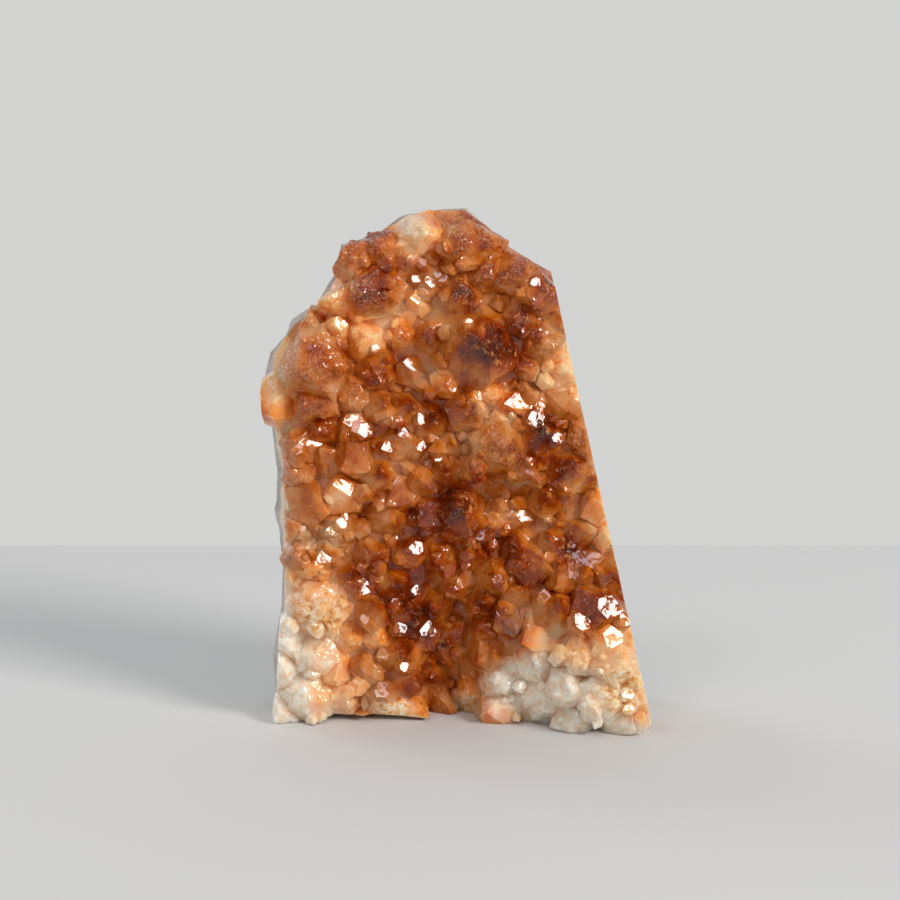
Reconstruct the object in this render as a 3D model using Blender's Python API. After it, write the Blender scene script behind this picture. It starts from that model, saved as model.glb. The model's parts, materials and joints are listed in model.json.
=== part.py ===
"""A citrine druse that stands on its sawn base: a slab cut from a geode's wall, with the rough
rind behind and a crust of quartz in front, whose points face -Y. Metres, +Z up, the origin
under the middle of the slab. The slab is sawn flat below and on its right, and broken elsewhere.

Two pieces grew here, one on the other:
  rind           the geode's stony wall
  citrine_crust  all the quartz that lined the hollow, grown together into one piece
"""
import itertools
import math
import random
from collections import namedtuple

import bmesh
import bpy
import numpy as np
from mathutils import Matrix, Vector, noise

MM = 0.001

# Overall sizes. Every length in this file is in millimetres, until a mesh is made.
HEIGHT = 116.0
FOOT_RIGHT = 43.5         # where the sawn side meets the base
SAWN_SIDE_SLOPE = 0.226   # how far that side comes in for each millimetre of height
SAW_SPARE = 6.0           # rough stone left beyond each saw cut before it is cut away
SEAM_GAP = 0.3            # between the rind and the crust
SEAM_CLEAR = 0.8          # between the rind and the root of any point
FAR = 160.0               # beyond the slab on any side

# The broken edge of the crust's slab, in front view: x, z from the foot of the left side over
# the top to the sawn side. The rind flares out behind it.
BROKEN_EDGE = [
    (-40, -SAW_SPARE), (-41.5, 3), (-41.5, 14), (-40, 25), (-39.5, 36), (-40.5, 48),
    (-40, 57), (-41.5, 66), (-42.5, 76), (-41.5, 84), (-37, 90.5), (-31.5, 94), (-28, 100),
    (-25.5, 107), (-18, 110.5), (-12, 114), (-5, HEIGHT - 0.5), (1, HEIGHT - 0.5),
    (6, 112), (10.5, 107.5), (16, 104), (25, 99),
]
SAWN_EDGE = [
    (29.5, 94), (33, 78), (36.5, 62), (40, 46), (43.5, 30), (47, 14), (51, -SAW_SPARE),
    (38, -SAW_SPARE), (26, -SAW_SPARE), (15, -SAW_SPARE), (6, -SAW_SPARE), (0, -SAW_SPARE),
    (-6, -SAW_SPARE), (-14, -SAW_SPARE), (-24, -SAW_SPARE), (-33, -SAW_SPARE),
]
EDGE = BROKEN_EDGE + SAWN_EDGE
MIDDLE = (-1.0, 50.0)
BULGE_OVER_EDGE = 1.6     # how far a point may stand out past the broken edge

# The crust's general surface: its y between the swells, then the swells as
# x, z, reach across, reach up, rise towards -Y.
FACE_LEVEL = -2.5
SWELLS = [
    (34, 12, 18, 26, 14.0),    # foot on the right
    (-34, 24, 10, 22, 1.5),    # foot on the left
    (-3, 4, 8, 30, -8.0),      # hollow between the feet
    (12, 50, 10, 8, -2.5),     # hollow above the right foot
    (4.5, 86, 12, 12, 6.0),    # large knob
    (-33, 80, 10, 11, 5.0),    # knob at the left shoulder
    (-20, 98, 8, 8, 4.5),      # knob above it
    (0, 108, 10, 6, 2.0),      # top
    (17, 96, 9, 9, 4.0),       # knob at the right shoulder
    (9, 65, 10, 9, 5.0),       # knob under the large one
    (24, 58, 10, 12, 4.0),     # beside the sawn side
    (-17, 60, 12, 10, 2.5),
    (-16, 26, 12, 14, 2.0),
]
EDGE_TURN = 0.12          # share of the way out over which the crust turns back to its edge
EDGE_DEPTH = 2.0          # of the crust at its broken edge

# The rind: its seam with the crust lies at this y, and comes forward along the left side.
SEAM_LEVEL = 11.5
SEAM_LEFT_FORWARD = 10.0
SEAM_TOP_FORWARD = 3.5
SEAM_SHARES = (0.35, 0.65, 0.85, 1.0)  # rings of the joint, as shares of the way to the edge
BACK_LEVEL = 20.9
BACK_TAPER = 6.5          # how much thinner the slab is at its top
BACK_CURVE = 4.5          # how far forward the back has come at the two sides
BACK_TOP_FALL = 0.4       # how much the broken top falls for each millimetre towards the back
RIND_FLARE = 1.8          # how far the rind stands out past the crust's edge, on the left only
RIND_LUMP = 8.0           # across one lump of the rind
RIND_ROUGH = 1.6          # height of those lumps
LUMP_PARTS = (0.0, 17.3, 41.9)  # how far apart the noise is read for a lump's x, y and z

# Quartz points. A face of the pointed end is this far from square to the point's length.
SIDES = 6
FACE_TILT = math.radians(51.8)
MINOR_REACH = 1.12        # three of the six faces grow further out, and show smaller
UNEVEN = 0.13             # how far faces grow out of step, as a share
ROOT = 4.5                # how deep a point is rooted in the crust
TIP_SHARE = 1.05          # a point's height over the crust, as a share of half its width
WORN_TILT = math.radians(27)
WORN_REACH = 0.80         # where the blunt faces of a worn point cut it, as a share of its height
BROAD_WAY = Vector((0.38, -0.86, 0.35)).normalized()  # a face that many points share
BROAD_REACH = 0.74

# Points that give the piece its look: x, z, across, lean to the right, lean up.
SHARP_POINTS = [
    # left half, from the shoulder down
    (-34, 51.5, 10.5, 0.2, 0.6), (-30, 40, 8.5, -0.1, 0.3), (-18, 57, 9.5, 0.1, 0.3),
    (-9, 56, 9, -0.2, 0.2), (-16.5, 47.5, 9.5, 0.2, -0.1), (-20.5, 39.5, 10.5, -0.1, 0.4),
    (-14.5, 31.5, 8.5, 0.2, 0.2), (-24.5, 34, 7.5, 0.2, 0.2), (-19.5, 26, 9, 0.1, 0.5),
    (-12.5, 24.5, 10.5, 0.2, 0.4), (-5, 27, 9, 0.3, 0.2), (-13.5, 15.5, 9.5, 0.2, 0.1),
    (-22, 12.5, 8.5, -0.2, 0.3), (-18, 5.5, 9.5, 0.1, 0.2), (-6.5, 9, 9, 0.1, -0.1),
    # middle
    (0, 48.5, 15, -0.1, 0.35), (-4.5, 37, 10.5, -0.2, 0.1), (4, 38.5, 7.5, 0.1, 0.2),
    (9, 54.5, 7.5, 0.1, -0.2), (-1, 20, 9.5, 0.3, 0.3), (-2, 64, 8.5, 0.1, 0.2),
    (-19, 80.5, 10.5, 0.2, -0.3), (-6.5, 70, 9.5, 0.1, 0.2), (2, 72, 9.5, 0.2, 0.1),
    # right half
    (25, 59, 11, 0.2, 0.4), (19.5, 52, 9, 0.0, 0.2), (17.5, 36.5, 11, 0.45, 0.15),
    (28, 44, 8, 0.2, 0.2), (29.5, 37, 11, 0.9, 0.8), (22, 27, 12, -0.1, 0.6),
    (5.5, 28.5, 10, -0.1, 0.2), (12, 23, 8, 0.2, -0.2), (6, 21.5, 7, -0.3, 0.4),
    (31.5, 50, 8.5, 0.3, 0.1), (13.5, 29.5, 8, 0.4, 0.4), (22.5, 72, 9.5, 0.2, 0.1),
    (29, 57, 8, 0.5, 0.2), (4.5, 87, 19, -0.05, 0.3),
]
# The same, each with one broad face that looks BROAD_WAY.
BROAD_POINTS = [
    (-26.5, 54, 11, -0.3, 0.5), (-24, 68.5, 9.5, -0.3, 0.3), (-13, 65.5, 10, 0.2, 0.5),
    (-9.5, 63.5, 6, 0.5, 0.2), (-11, 39.5, 8.5, 0.3, 0.4), (-11, 81, 8.5, -0.2, 0.6),
    (-9.5, 96.5, 8, -0.2, 0.3), (-27, 90.5, 7, -0.2, 0.3), (-2.5, 78, 8.5, 0.3, -0.1),
    (11.5, 74, 8, -0.5, 0.0), (17, 73, 8, 0.2, -0.2), (13, 47.5, 12, 0.75, 0.2),
    (31.5, 28, 12.5, 0.4, 0.35), (-8, 19.5, 7.5, 0.4, 0.6), (-7, 100.5, 6.5, 0.1, 0.4),
]
# Blunt points, rubbed or overgrown with sugar-fine quartz.
WORN_POINTS = [
    (-33, 82, 17, -0.3, 0.1), (-33, 74, 12, -0.4, -0.2), (-20, 99, 14, -0.2, 0.2),
    (-27.5, 87, 9, 0.1, 0.2), (-18, 107, 10, -0.2, 0.4), (-8, 111, 11, -0.1, 0.5),
    (0, 109, 11, 0.0, 0.4), (6, 110, 9, 0.2, 0.5), (12, 102, 10, 0.2, 0.4),
    (18, 98.5, 10, 0.3, 0.3), (13, 93, 9, 0.1, 0.1), (18.5, 87, 10, 0.3, 0.0),
    (15, 81.5, 9.5, 0.2, -0.3), (22, 91, 8, 0.4, 0.1), (9, 65, 14, 0.2, 0.0),
    (14, 59.5, 9, 0.2, -0.3), (-6.5, 89, 10, -0.3, 0.2), (-13, 89, 9, 0.0, 0.0),
    (-24, 75, 9, 0.2, -0.2), (6, 102, 9, 0.1, 0.3), (-36, 64, 10, -0.4, 0.1),
    (-36, 57, 9, -0.4, -0.1), (-36, 38.5, 9.5, -0.4, 0.2), (-32.5, 26.5, 16, -0.2, 0.2),
    (-33, 15, 11, -0.3, 0.0), (-35, 6, 13, -0.3, 0.1), (-27, 5.5, 9, 0.1, 0.1),
    (-25, 20, 9, 0.2, 0.1), (10, 9, 10, 0.0, 0.0), (19.5, 6, 10, 0.0, -0.1),
    (26, 2, 9, 0.1, 0.0), (24.5, 10.5, 10, 0.0, 0.1), (33, 9, 12, 0.2, 0.1),
    (38, 2.5, 11, 0.3, 0.1), (35, 17, 11, 0.4, 0.3), (18, 15.5, 10, -0.1, 0.3),
    (27.5, 18, 10, 0.1, 0.4), (2.5, 5.5, 9, -0.3, 0.0), (27.5, 66, 8, 0.5, 0.1),
]
Point = namedtuple("Point", "x z across right up worn broad")

# Points between those, spread evenly and leaning at random.
FILL_SEED = 11
FILL_TRIES = 9000
FILL_SPACING = (5.4, 7.4)
FILL_ACROSS = (8.0, 11.5)
FILL_LEAN = 0.3
WORN_ABOVE = 76.0         # filling points are worn above this height
SLOPE_LEAN = 0.6          # how much points follow the slope that they stand on
RISE = (-0.8, 1.0)

# A shallow hollow under the left foot: middle x, y and half sizes.
CHIP_MIDDLE = (-21, -2)
CHIP_HALF = (16.5, 8.5, 1.5)
CHIP_SIDES = 14


def falloff(x, z, middle_x, middle_z, reach_x, reach_z):
    """1 at the middle of a swell, fading away beyond its reach."""
    return math.exp(-(((x - middle_x) / reach_x) ** 2 + ((z - middle_z) / reach_z) ** 2))


def crust_face(x, z):
    """y of the crust's general surface, which the points stand on."""
    return FACE_LEVEL - sum(
        rise * falloff(x, z, middle_x, middle_z, reach_x, reach_z)
        for middle_x, middle_z, reach_x, reach_z, rise in SWELLS)


def seam(x, z):
    """y of the joint between crust and rind."""
    left = 1 / (1 + math.exp((x + 31) / 4))
    return SEAM_LEVEL - SEAM_LEFT_FORWARD * left - SEAM_TOP_FORWARD * max(0.0, z / HEIGHT) ** 2


def rind_back(x, z):
    """y of the rind's back, which bulges as a geode does."""
    curve = BACK_CURVE * (x / FOOT_RIGHT) ** 2
    return BACK_LEVEL - curve - BACK_TAPER * max(0.0, z / HEIGHT) ** 1.5


def edge_place(corner, share, flare=0.0):
    """x, z a share of the way from the middle to a corner of the edge, moved out by flare."""
    way = Vector(corner) - Vector(MIDDLE)
    return Vector(MIDDLE) + way * share + way.normalized() * flare


def lump(place, size, height):
    """Smooth unevenness of that size and height, as a vector."""
    spots = (place / size + Vector((apart, -apart, 2 * apart)) for apart in LUMP_PARTS)
    return Vector([noise.noise(spot) for spot in spots]) * height


def rind_flare(x):
    """How far the rind stands out past the crust's edge: fully on the left, not on the right."""
    return RIND_FLARE / (1 + math.exp((x + 14) / 6))


def distance_past(x, z, start, end):
    """How far a spot lies outside a stretch of the edge, and how far it lies from it."""
    start, end, spot = Vector(start), Vector(end), Vector((x, z))
    line = end - start
    out = Vector((-line.y, line.x)).normalized()
    share = max(0.0, min(1.0, (spot - start).dot(line) / line.length_squared))
    return (spot - start).dot(out), (spot - start - line * share).length


def stretches(corners):
    return list(zip(corners, corners[1:]))


def inside(x, z, margin):
    """Whether a spot lies inside the slab by at least that margin."""
    crossings = sum(
        (z1 > z) != (z2 > z) and x < x1 + (z - z1) * (x2 - x1) / (z2 - z1)
        for (x1, z1), (x2, z2) in stretches(EDGE + EDGE[:1]))
    nearest = min(distance_past(x, z, *ends)[1] for ends in stretches(EDGE + EDGE[:1]))
    return crossings % 2 == 1 and nearest >= margin


def body_mesh(name, rings, first, last):
    """A closed body from rings of equal counts of places, and a place at each end."""
    bm = bmesh.new()
    loops = [[bm.verts.new(place * MM) for place in ring] for ring in rings]
    start, end = bm.verts.new(first * MM), bm.verts.new(last * MM)
    count = len(loops[0])
    for i in range(count):
        j = (i + 1) % count
        bm.faces.new((start, loops[0][i], loops[0][j]))
        for ring, following in zip(loops, loops[1:]):
            bm.faces.new((ring[i], following[i], following[j], ring[j]))
        bm.faces.new((loops[-1][j], loops[-1][i], end))
    bmesh.ops.recalc_face_normals(bm, faces=bm.faces)
    mesh = bpy.data.meshes.new(name)
    bm.to_mesh(mesh)
    bm.free()
    return mesh


def surface_ring(surface, share, offset=0.0):
    ring = []
    for corner in EDGE:
        x, z = edge_place(corner, share)
        ring.append(Vector((x, surface(x, z) + offset, z)))
    return ring


def surface_middle(surface, offset=0.0):
    x, z = MIDDLE
    return Vector((x, surface(x, z) + offset, z))


def rind_mesh():
    """A face that follows the seam, a rough flaring side and a lumpy back."""
    rings = [surface_ring(seam, share, SEAM_GAP / 2) for share in SEAM_SHARES]
    for depth, flare in ((0.2, 0.6), (0.55, 1.0), (0.88, 0.6)):
        ring = []
        for corner in EDGE:
            x, z = edge_place(corner, 1.0, rind_flare(corner[0]) * flare)
            back = (rind_back(x, z) - seam(x, z)) * depth
            fall = BACK_TOP_FALL * back * max(0.0, z / HEIGHT) ** 2
            place = Vector((x, seam(x, z) + back, z - fall))
            ring.append(place + lump(place, RIND_LUMP, RIND_ROUGH))
        rings.append(ring)
    for share in (0.94, 0.8, 0.6, 0.4, 0.2):
        ring = surface_ring(rind_back, share)
        rings.append([place + lump(place, RIND_LUMP, RIND_ROUGH) for place in ring])
    return body_mesh("rind", rings, surface_middle(seam, SEAM_GAP / 2), surface_middle(rind_back))


def crust_bed_mesh():
    """The massive quartz under the points, from the seam to the crust's general surface."""
    rings = [surface_ring(seam, share, -SEAM_GAP / 2) for share in SEAM_SHARES]
    for share in (1.0, 0.97, 0.92, 0.8, 0.62, 0.44, 0.24):
        turn = max(0.0, (share - 1 + EDGE_TURN) / EDGE_TURN) ** 2
        ring = []
        for place in surface_ring(crust_face, share):
            edge_y = seam(place.x, place.z) - EDGE_DEPTH
            place.y += max(0.0, edge_y - place.y) * turn
            place.y = min(place.y, edge_y)
            ring.append(place)
        rings.append(ring)
    return body_mesh("bed", rings, surface_middle(seam, -SEAM_GAP / 2), surface_middle(crust_face))


def corners_within(planes):
    """The corners of the solid on the inner side of every plane, each (normal, distance)."""
    normals = np.array([tuple(normal) for normal, _ in planes])
    distances = np.array([distance for _, distance in planes])
    threes = np.array(list(itertools.combinations(range(len(planes)), 3)))
    threes = threes[np.abs(np.linalg.det(normals[threes])) > 1e-3]
    corners = np.linalg.solve(normals[threes], distances[threes][..., None])[..., 0]
    kept = corners[(corners @ normals.T <= distances + 1e-6).all(axis=1)]
    return np.unique(np.round(kept, 4), axis=0)


def ring_of_planes(tilt, reaches, turn=0.0):
    """One plane for each reach, evenly round +Z, tilted from +Z and crossing it at that reach."""
    planes = []
    for i, reach in enumerate(reaches):
        angle = turn + 2 * math.pi * i / len(reaches)
        out = Vector((math.cos(angle), math.sin(angle), 0))
        planes.append((out * math.sin(tilt) + Vector((0, 0, math.cos(tilt))),
                       reach * math.cos(tilt)))
    return planes


def point_planes(point, rise, rng):
    """The faces of a quartz point in its own frame: +Z is its length, the origin its foot."""
    def grown(size):
        return size * rng.uniform(1 - UNEVEN, 1 + UNEVEN)

    half = point.across / 2
    tip = rise + half * TIP_SHARE
    planes = [(Vector((0, 0, -1)), ROOT)]
    for i in range(SIDES):
        angle = 2 * math.pi * i / SIDES
        planes.append((Vector((math.cos(angle), math.sin(angle), 0)), grown(half)))
    reaches = [grown(tip * (MINOR_REACH if i % 2 else 1)) for i in range(SIDES)]
    planes += ring_of_planes(FACE_TILT, reaches)
    if point.worn:
        blunt = [grown(tip * WORN_REACH) for _ in range(SIDES - 1)]
        planes += ring_of_planes(WORN_TILT, blunt, rng.uniform(0, 1))
    return planes, tip


def edge_planes(foot):
    """Planes that keep a point from standing out past the broken edge near it."""
    planes = []
    for start, end in stretches(BROKEN_EDGE):
        past, away = distance_past(foot.x, foot.z, start, end)
        if away < 14 and past < 2:
            line = Vector(end) - Vector(start)
            out = Vector((-line.y, 0, line.x)).normalized()
            planes.append((out, BULGE_OVER_EDGE - past))
    return planes


def point_corners(point, rng):
    """The corners of one quartz point, in place on the crust."""
    axis = Vector((point.right, -1, point.up)).normalized()
    turn = Matrix.Rotation(rng.uniform(0, 2 * math.pi / SIDES), 3, "Z")
    frame = axis.to_track_quat("Z", "Y").to_matrix() @ turn
    planes, tip = point_planes(point, rng.uniform(*RISE), rng)
    planes = [(frame @ normal, distance) for normal, distance in planes]
    if point.broad:
        planes.append((BROAD_WAY, tip * BROAD_REACH))
    foot = Vector((point.x, crust_face(point.x, point.z), point.z))
    deepest = min(seam(point.x + side * point.across / 2, point.z) for side in (-1, 1))
    planes.append((Vector((0, 1, 0)), deepest - SEAM_CLEAR - foot.y))
    return corners_within(planes + edge_planes(foot)) + np.array(foot)


def named_points():
    groups = ((SHARP_POINTS, False, False), (BROAD_POINTS, False, True),
              (WORN_POINTS, True, False))
    return [Point(*place, worn, broad) for places, worn, broad in groups for place in places]


def filling_points(others, rng):
    """Points over the rest of the crust, no nearer each other than the spacing."""
    points = []
    for _ in range(FILL_TRIES):
        x, z = rng.uniform(-FOOT_RIGHT, FOOT_RIGHT), rng.uniform(0, HEIGHT)
        spacing, across = rng.uniform(*FILL_SPACING), rng.uniform(*FILL_ACROSS)
        if x > FOOT_RIGHT - SAWN_SIDE_SLOPE * z or not inside(x, z, 0.8):
            continue
        near = any(math.hypot(x - p.x, z - p.z) < max(spacing, 0.52 * p.across)
                   for p in others + points)
        if near:
            continue
        slope_x = crust_face(x + 1, z) - crust_face(x - 1, z)
        slope_z = crust_face(x, z + 1) - crust_face(x, z - 1)
        points.append(Point(x, z, across, slope_x * SLOPE_LEAN + rng.gauss(0, FILL_LEAN),
                            slope_z * SLOPE_LEAN + rng.gauss(0, FILL_LEAN),
                            z > WORN_ABOVE, False))
    return points


def tool_collection(name):
    collection = bpy.data.collections.new(name)
    bpy.context.scene.collection.children.link(collection)
    return collection


def convex_tool(name, corners, collection):
    """The convex solid round these corners, as a hidden tool for a Boolean."""
    bm = bmesh.new()
    for corner in corners:
        bm.verts.new(Vector(corner) * MM)
    bmesh.ops.convex_hull(bm, input=bm.verts)
    bmesh.ops.dissolve_limit(bm, angle_limit=math.radians(0.5), verts=bm.verts, edges=bm.edges)
    bmesh.ops.recalc_face_normals(bm, faces=bm.faces)
    mesh = bpy.data.meshes.new(name)
    bm.to_mesh(mesh)
    bm.free()
    tool = bpy.data.objects.new(name, mesh)
    tool.hide_render = True
    tool.display_type = "WIRE"
    collection.objects.link(tool)
    return tool


def saw_blocks(collection):
    """Blocks that take away the stone below the base and beyond the sawn side."""
    def block(name, outline):
        return convex_tool(name, [(x, y, z) for x, z in outline for y in (-FAR, FAR)], collection)

    def side(z):
        return FOOT_RIGHT - SAWN_SIDE_SLOPE * z

    below = block("below_base", [(-FAR, 0), (FAR, 0), (FAR, -FAR), (-FAR, -FAR)])
    beside = block("beside", [(side(-FAR), -FAR), (side(FAR), FAR), (2 * FAR, FAR), (2 * FAR, -FAR)])
    return [below, beside]


def chip_tool(collection):
    """The hollow under the left foot: a flat dome with its rim below the base."""
    corners = []
    for height, share in ((-1.0, 1.0), (0.45, 0.85), (0.85, 0.5), (1.0, 0.2)):
        for i in range(CHIP_SIDES):
            angle = 2 * math.pi * i / CHIP_SIDES
            corners.append((CHIP_MIDDLE[0] + CHIP_HALF[0] * share * math.cos(angle),
                            CHIP_MIDDLE[1] + CHIP_HALF[1] * share * math.sin(angle),
                            CHIP_HALF[2] * height))
    return convex_tool("chip", corners, collection)


def boolean(obj, operation, tool, solver="EXACT"):
    """Joins obj with every object of a collection, or cuts one object from it."""
    modifier = obj.modifiers.new(tool.name, "BOOLEAN")
    modifier.operation = operation
    modifier.solver = solver
    if isinstance(tool, bpy.types.Collection):
        modifier.operand_type = "COLLECTION"
        modifier.collection = tool
    else:
        modifier.object = tool


def stone(name, colour, roughness):
    material = bpy.data.materials.new(name)
    material.use_nodes = True
    shader = material.node_tree.nodes["Principled BSDF"]
    shader.inputs["Base Color"].default_value = (*colour, 1)
    shader.inputs["Roughness"].default_value = roughness
    shader.inputs["Metallic"].default_value = 0.0
    return material


def add_piece(name, mesh, material):
    mesh.materials.append(material)
    piece = bpy.data.objects.new(name, mesh)
    bpy.context.scene.collection.objects.link(piece)
    return piece


def main():
    for obj in list(bpy.data.objects):
        bpy.data.objects.remove(obj)
    rng = random.Random(FILL_SEED)
    saws = tool_collection("saws")
    points = tool_collection("points")
    named = named_points()
    for i, point in enumerate(named + filling_points(named, rng)):
        convex_tool(f"point_{i:03d}", point_corners(point, rng), points)
    rind = add_piece("rind", rind_mesh(), stone("rind_stone", (0.40, 0.37, 0.33), 0.9))
    crust = add_piece("citrine_crust", crust_bed_mesh(),
                      stone("citrine_quartz", (0.46, 0.15, 0.03), 0.15))
    boolean(crust, "UNION", points)
    # EXACT loses the joined crust when it is cut, so its cuts use the other solver.
    for saw in saw_blocks(saws):
        boolean(rind, "DIFFERENCE", saw)
        boolean(crust, "DIFFERENCE", saw, "MANIFOLD")
    boolean(crust, "DIFFERENCE", chip_tool(saws), "MANIFOLD")


main()
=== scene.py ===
"""Looks of a citrine druse: heated quartz points on a geode's rind, standing on a sawn base.

Laid out as a Blender add-on and run as a script. Three operators make it: the crust of points,
the rind behind it, and the stage that it is seen on. Places and sizes of the stone are in
millimetres until a mesh is made, and everything in the scene is in metres.
"""
import itertools
import json
import math
import random
from collections import namedtuple

import bmesh
import bpy
import numpy as np
from mathutils import Matrix, Vector, noise
from mathutils.bvhtree import BVHTree

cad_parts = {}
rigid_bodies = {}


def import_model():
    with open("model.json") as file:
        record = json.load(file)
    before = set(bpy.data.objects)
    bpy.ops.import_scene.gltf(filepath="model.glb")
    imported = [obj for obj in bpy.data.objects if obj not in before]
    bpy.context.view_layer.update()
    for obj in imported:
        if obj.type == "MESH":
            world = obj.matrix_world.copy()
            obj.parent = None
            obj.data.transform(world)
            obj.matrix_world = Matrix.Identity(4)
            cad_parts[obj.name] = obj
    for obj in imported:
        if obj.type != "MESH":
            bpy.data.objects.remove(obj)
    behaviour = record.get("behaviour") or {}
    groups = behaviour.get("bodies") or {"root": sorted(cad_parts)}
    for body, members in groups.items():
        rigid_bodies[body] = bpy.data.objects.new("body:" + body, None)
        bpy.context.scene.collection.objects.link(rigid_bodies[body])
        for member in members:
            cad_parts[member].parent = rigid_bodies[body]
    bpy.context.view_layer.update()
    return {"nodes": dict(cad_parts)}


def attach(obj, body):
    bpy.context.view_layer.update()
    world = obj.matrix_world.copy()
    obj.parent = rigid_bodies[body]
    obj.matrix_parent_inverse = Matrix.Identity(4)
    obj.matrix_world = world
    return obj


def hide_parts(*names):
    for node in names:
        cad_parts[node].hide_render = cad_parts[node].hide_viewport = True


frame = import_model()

bl_info = {
    "name": "Citrine druse",
    "version": (1, 0, 0),
    "blender": (4, 5, 0),
    "location": "View3D > Sidebar > Druse",
    "description": "Heated quartz points on a rind, with their stage",
    "category": "Add Mesh",
}

MM = 0.001

# Where the druse is seen from and lit from, in millimetres.
AIM = Vector((-2.2, 0, 62))
EYE_DISTANCE = 600
EYE_RISE = math.radians(10)
EYE = AIM + Vector((0, -math.cos(EYE_RISE), math.sin(EYE_RISE))) * EYE_DISTANCE
LIGHT_DISTANCE = 2500
KEY = AIM + Vector((0.68, -0.565, 0.47)).normalized() * LIGHT_DISTANCE
SKY = AIM + Vector((-0.35, -0.5, 0.8)).normalized() * LIGHT_DISTANCE
WINDOW = AIM + Vector((-0.75, 0.6, 0.5)).normalized() * LIGHT_DISTANCE
SENSOR = 36.0             # width of the camera's sensor

# ---------------------------------------------------------------------------------------------
# The stone's general form
# ---------------------------------------------------------------------------------------------
HEIGHT = 116.0
FOOT_RIGHT = 43.5         # where the sawn side meets the base
SAWN_SIDE_SLOPE = 0.226   # how far that side comes in for each millimetre of height
SAW_SPARE = 6.0           # rough stone left beyond each saw cut before it is cut away
SEAM_GROWN = 0.2          # how far the crust's back reaches past the seam, into the rind
SEAM_CLEAR = 0.8          # between the rind and the root of any point
FAR = 160.0               # beyond the slab on any side

# The broken edge of the crust's slab, in front view: x, z.
BROKEN_EDGE = [
    (-40, -SAW_SPARE), (-41.5, 3), (-41.5, 14), (-40, 25), (-39.5, 36), (-40.5, 48),
    (-40, 57), (-41.5, 66), (-42.5, 76), (-41.5, 84), (-37, 90.5), (-31.5, 94), (-28, 100),
    (-25.5, 107), (-18, 110.5), (-12, 114), (-5, HEIGHT - 0.5), (1, HEIGHT - 0.5),
    (6, 112), (10.5, 107.5), (16, 104), (25, 99),
]
SAWN_EDGE = [
    (29.5, 94), (33, 78), (36.5, 62), (40, 46), (43.5, 30), (47, 14), (51, -SAW_SPARE),
    (38, -SAW_SPARE), (26, -SAW_SPARE), (15, -SAW_SPARE), (6, -SAW_SPARE), (0, -SAW_SPARE),
    (-6, -SAW_SPARE), (-14, -SAW_SPARE), (-24, -SAW_SPARE), (-33, -SAW_SPARE),
]
EDGE = BROKEN_EDGE + SAWN_EDGE
MIDDLE = (-1.0, 50.0)
BULGE_OVER_EDGE = 2.0     # how far a point may stand out past the broken edge
LEFT_BULGE = 0.8          # and low on the left, where the rind shows beside the crust
LEFT_BULGE_X = -30        # that is, left of this
LEFT_BULGE_Z = 72         # and below this
EDGE_NEAR = 14            # a point is held back by each stretch of the edge this near its foot
EDGE_PAST = 2             # unless its foot lies further than this past it

# The crust's general surface: its y between the swells, then the swells as
# x, z, reach across, reach up, rise towards -Y.
FACE_LEVEL = -2.5
SWELLS = [
    (34, 12, 18, 26, 14.0),    # foot on the right
    (-34, 24, 10, 22, 1.5),    # foot on the left
    (-3, 4, 8, 30, -8.0),      # hollow between the feet
    (12, 50, 10, 8, -2.5),     # hollow above the right foot
    (4.5, 86, 12, 12, 6.0),    # large knob
    (-33, 80, 10, 11, 5.0),    # knob at the left shoulder
    (-20, 98, 8, 8, 4.5),      # knob above it
    (0, 108, 10, 6, 2.0),      # top
    (17, 96, 9, 9, 4.0),       # knob at the right shoulder
    (9, 65, 10, 9, 5.0),       # knob under the large one
    (24, 58, 10, 12, 4.0),     # beside the sawn side
    (-17, 60, 12, 10, 2.5),
    (-16, 26, 12, 14, 2.0),
]
EDGE_TURN = 0.12          # share of the way out over which the crust turns back to its edge
EDGE_DEPTH = 2.0          # of the crust at its broken edge
FACE_SHARES = (1.0, 0.97, 0.92, 0.8, 0.62, 0.44, 0.24)  # its rings, as shares of the way out

# The seam with the rind lies at this y, and comes forward along the left side.
SEAM_LEVEL = 11.5
SEAM_LEFT_FORWARD = 10.0
SEAM_LEFT_X = -31         # middle of the stretch over which it comes forward
SEAM_LEFT_WIDTH = 4
SEAM_TOP_FORWARD = 3.5
SEAM_SHARES = (0.35, 0.65, 0.85, 1.0)
SEAM_NEAR = 0.6           # what lies this near the seam is in the joint
SEAM_HIDDEN = 2           # how far in from the outline the joint is out of sight
SEAM_FACING = 0.6         # a face in the joint looks at least this much to the back

# Quartz points. A face of the pointed end is this far from square to the point's length.
SIDES = 6
FACE_TILT = math.radians(51.8)
MINOR_REACH = 1.12        # three of the six faces grow further out, and show smaller
UNEVEN = 0.13             # how far faces grow out of step, as a share
ROOT = 4.5                # how deep a point is rooted in the crust
TIP_SHARE = 1.05          # a point's height over the crust, as a share of half its width
WORN_TILT = math.radians(27)
WORN_REACH = 0.80         # where the blunt faces of a worn point cut it, as a share of its height
BROAD_REACH = 0.62        # where the broad flat face cuts a point that has one, likewise

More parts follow.
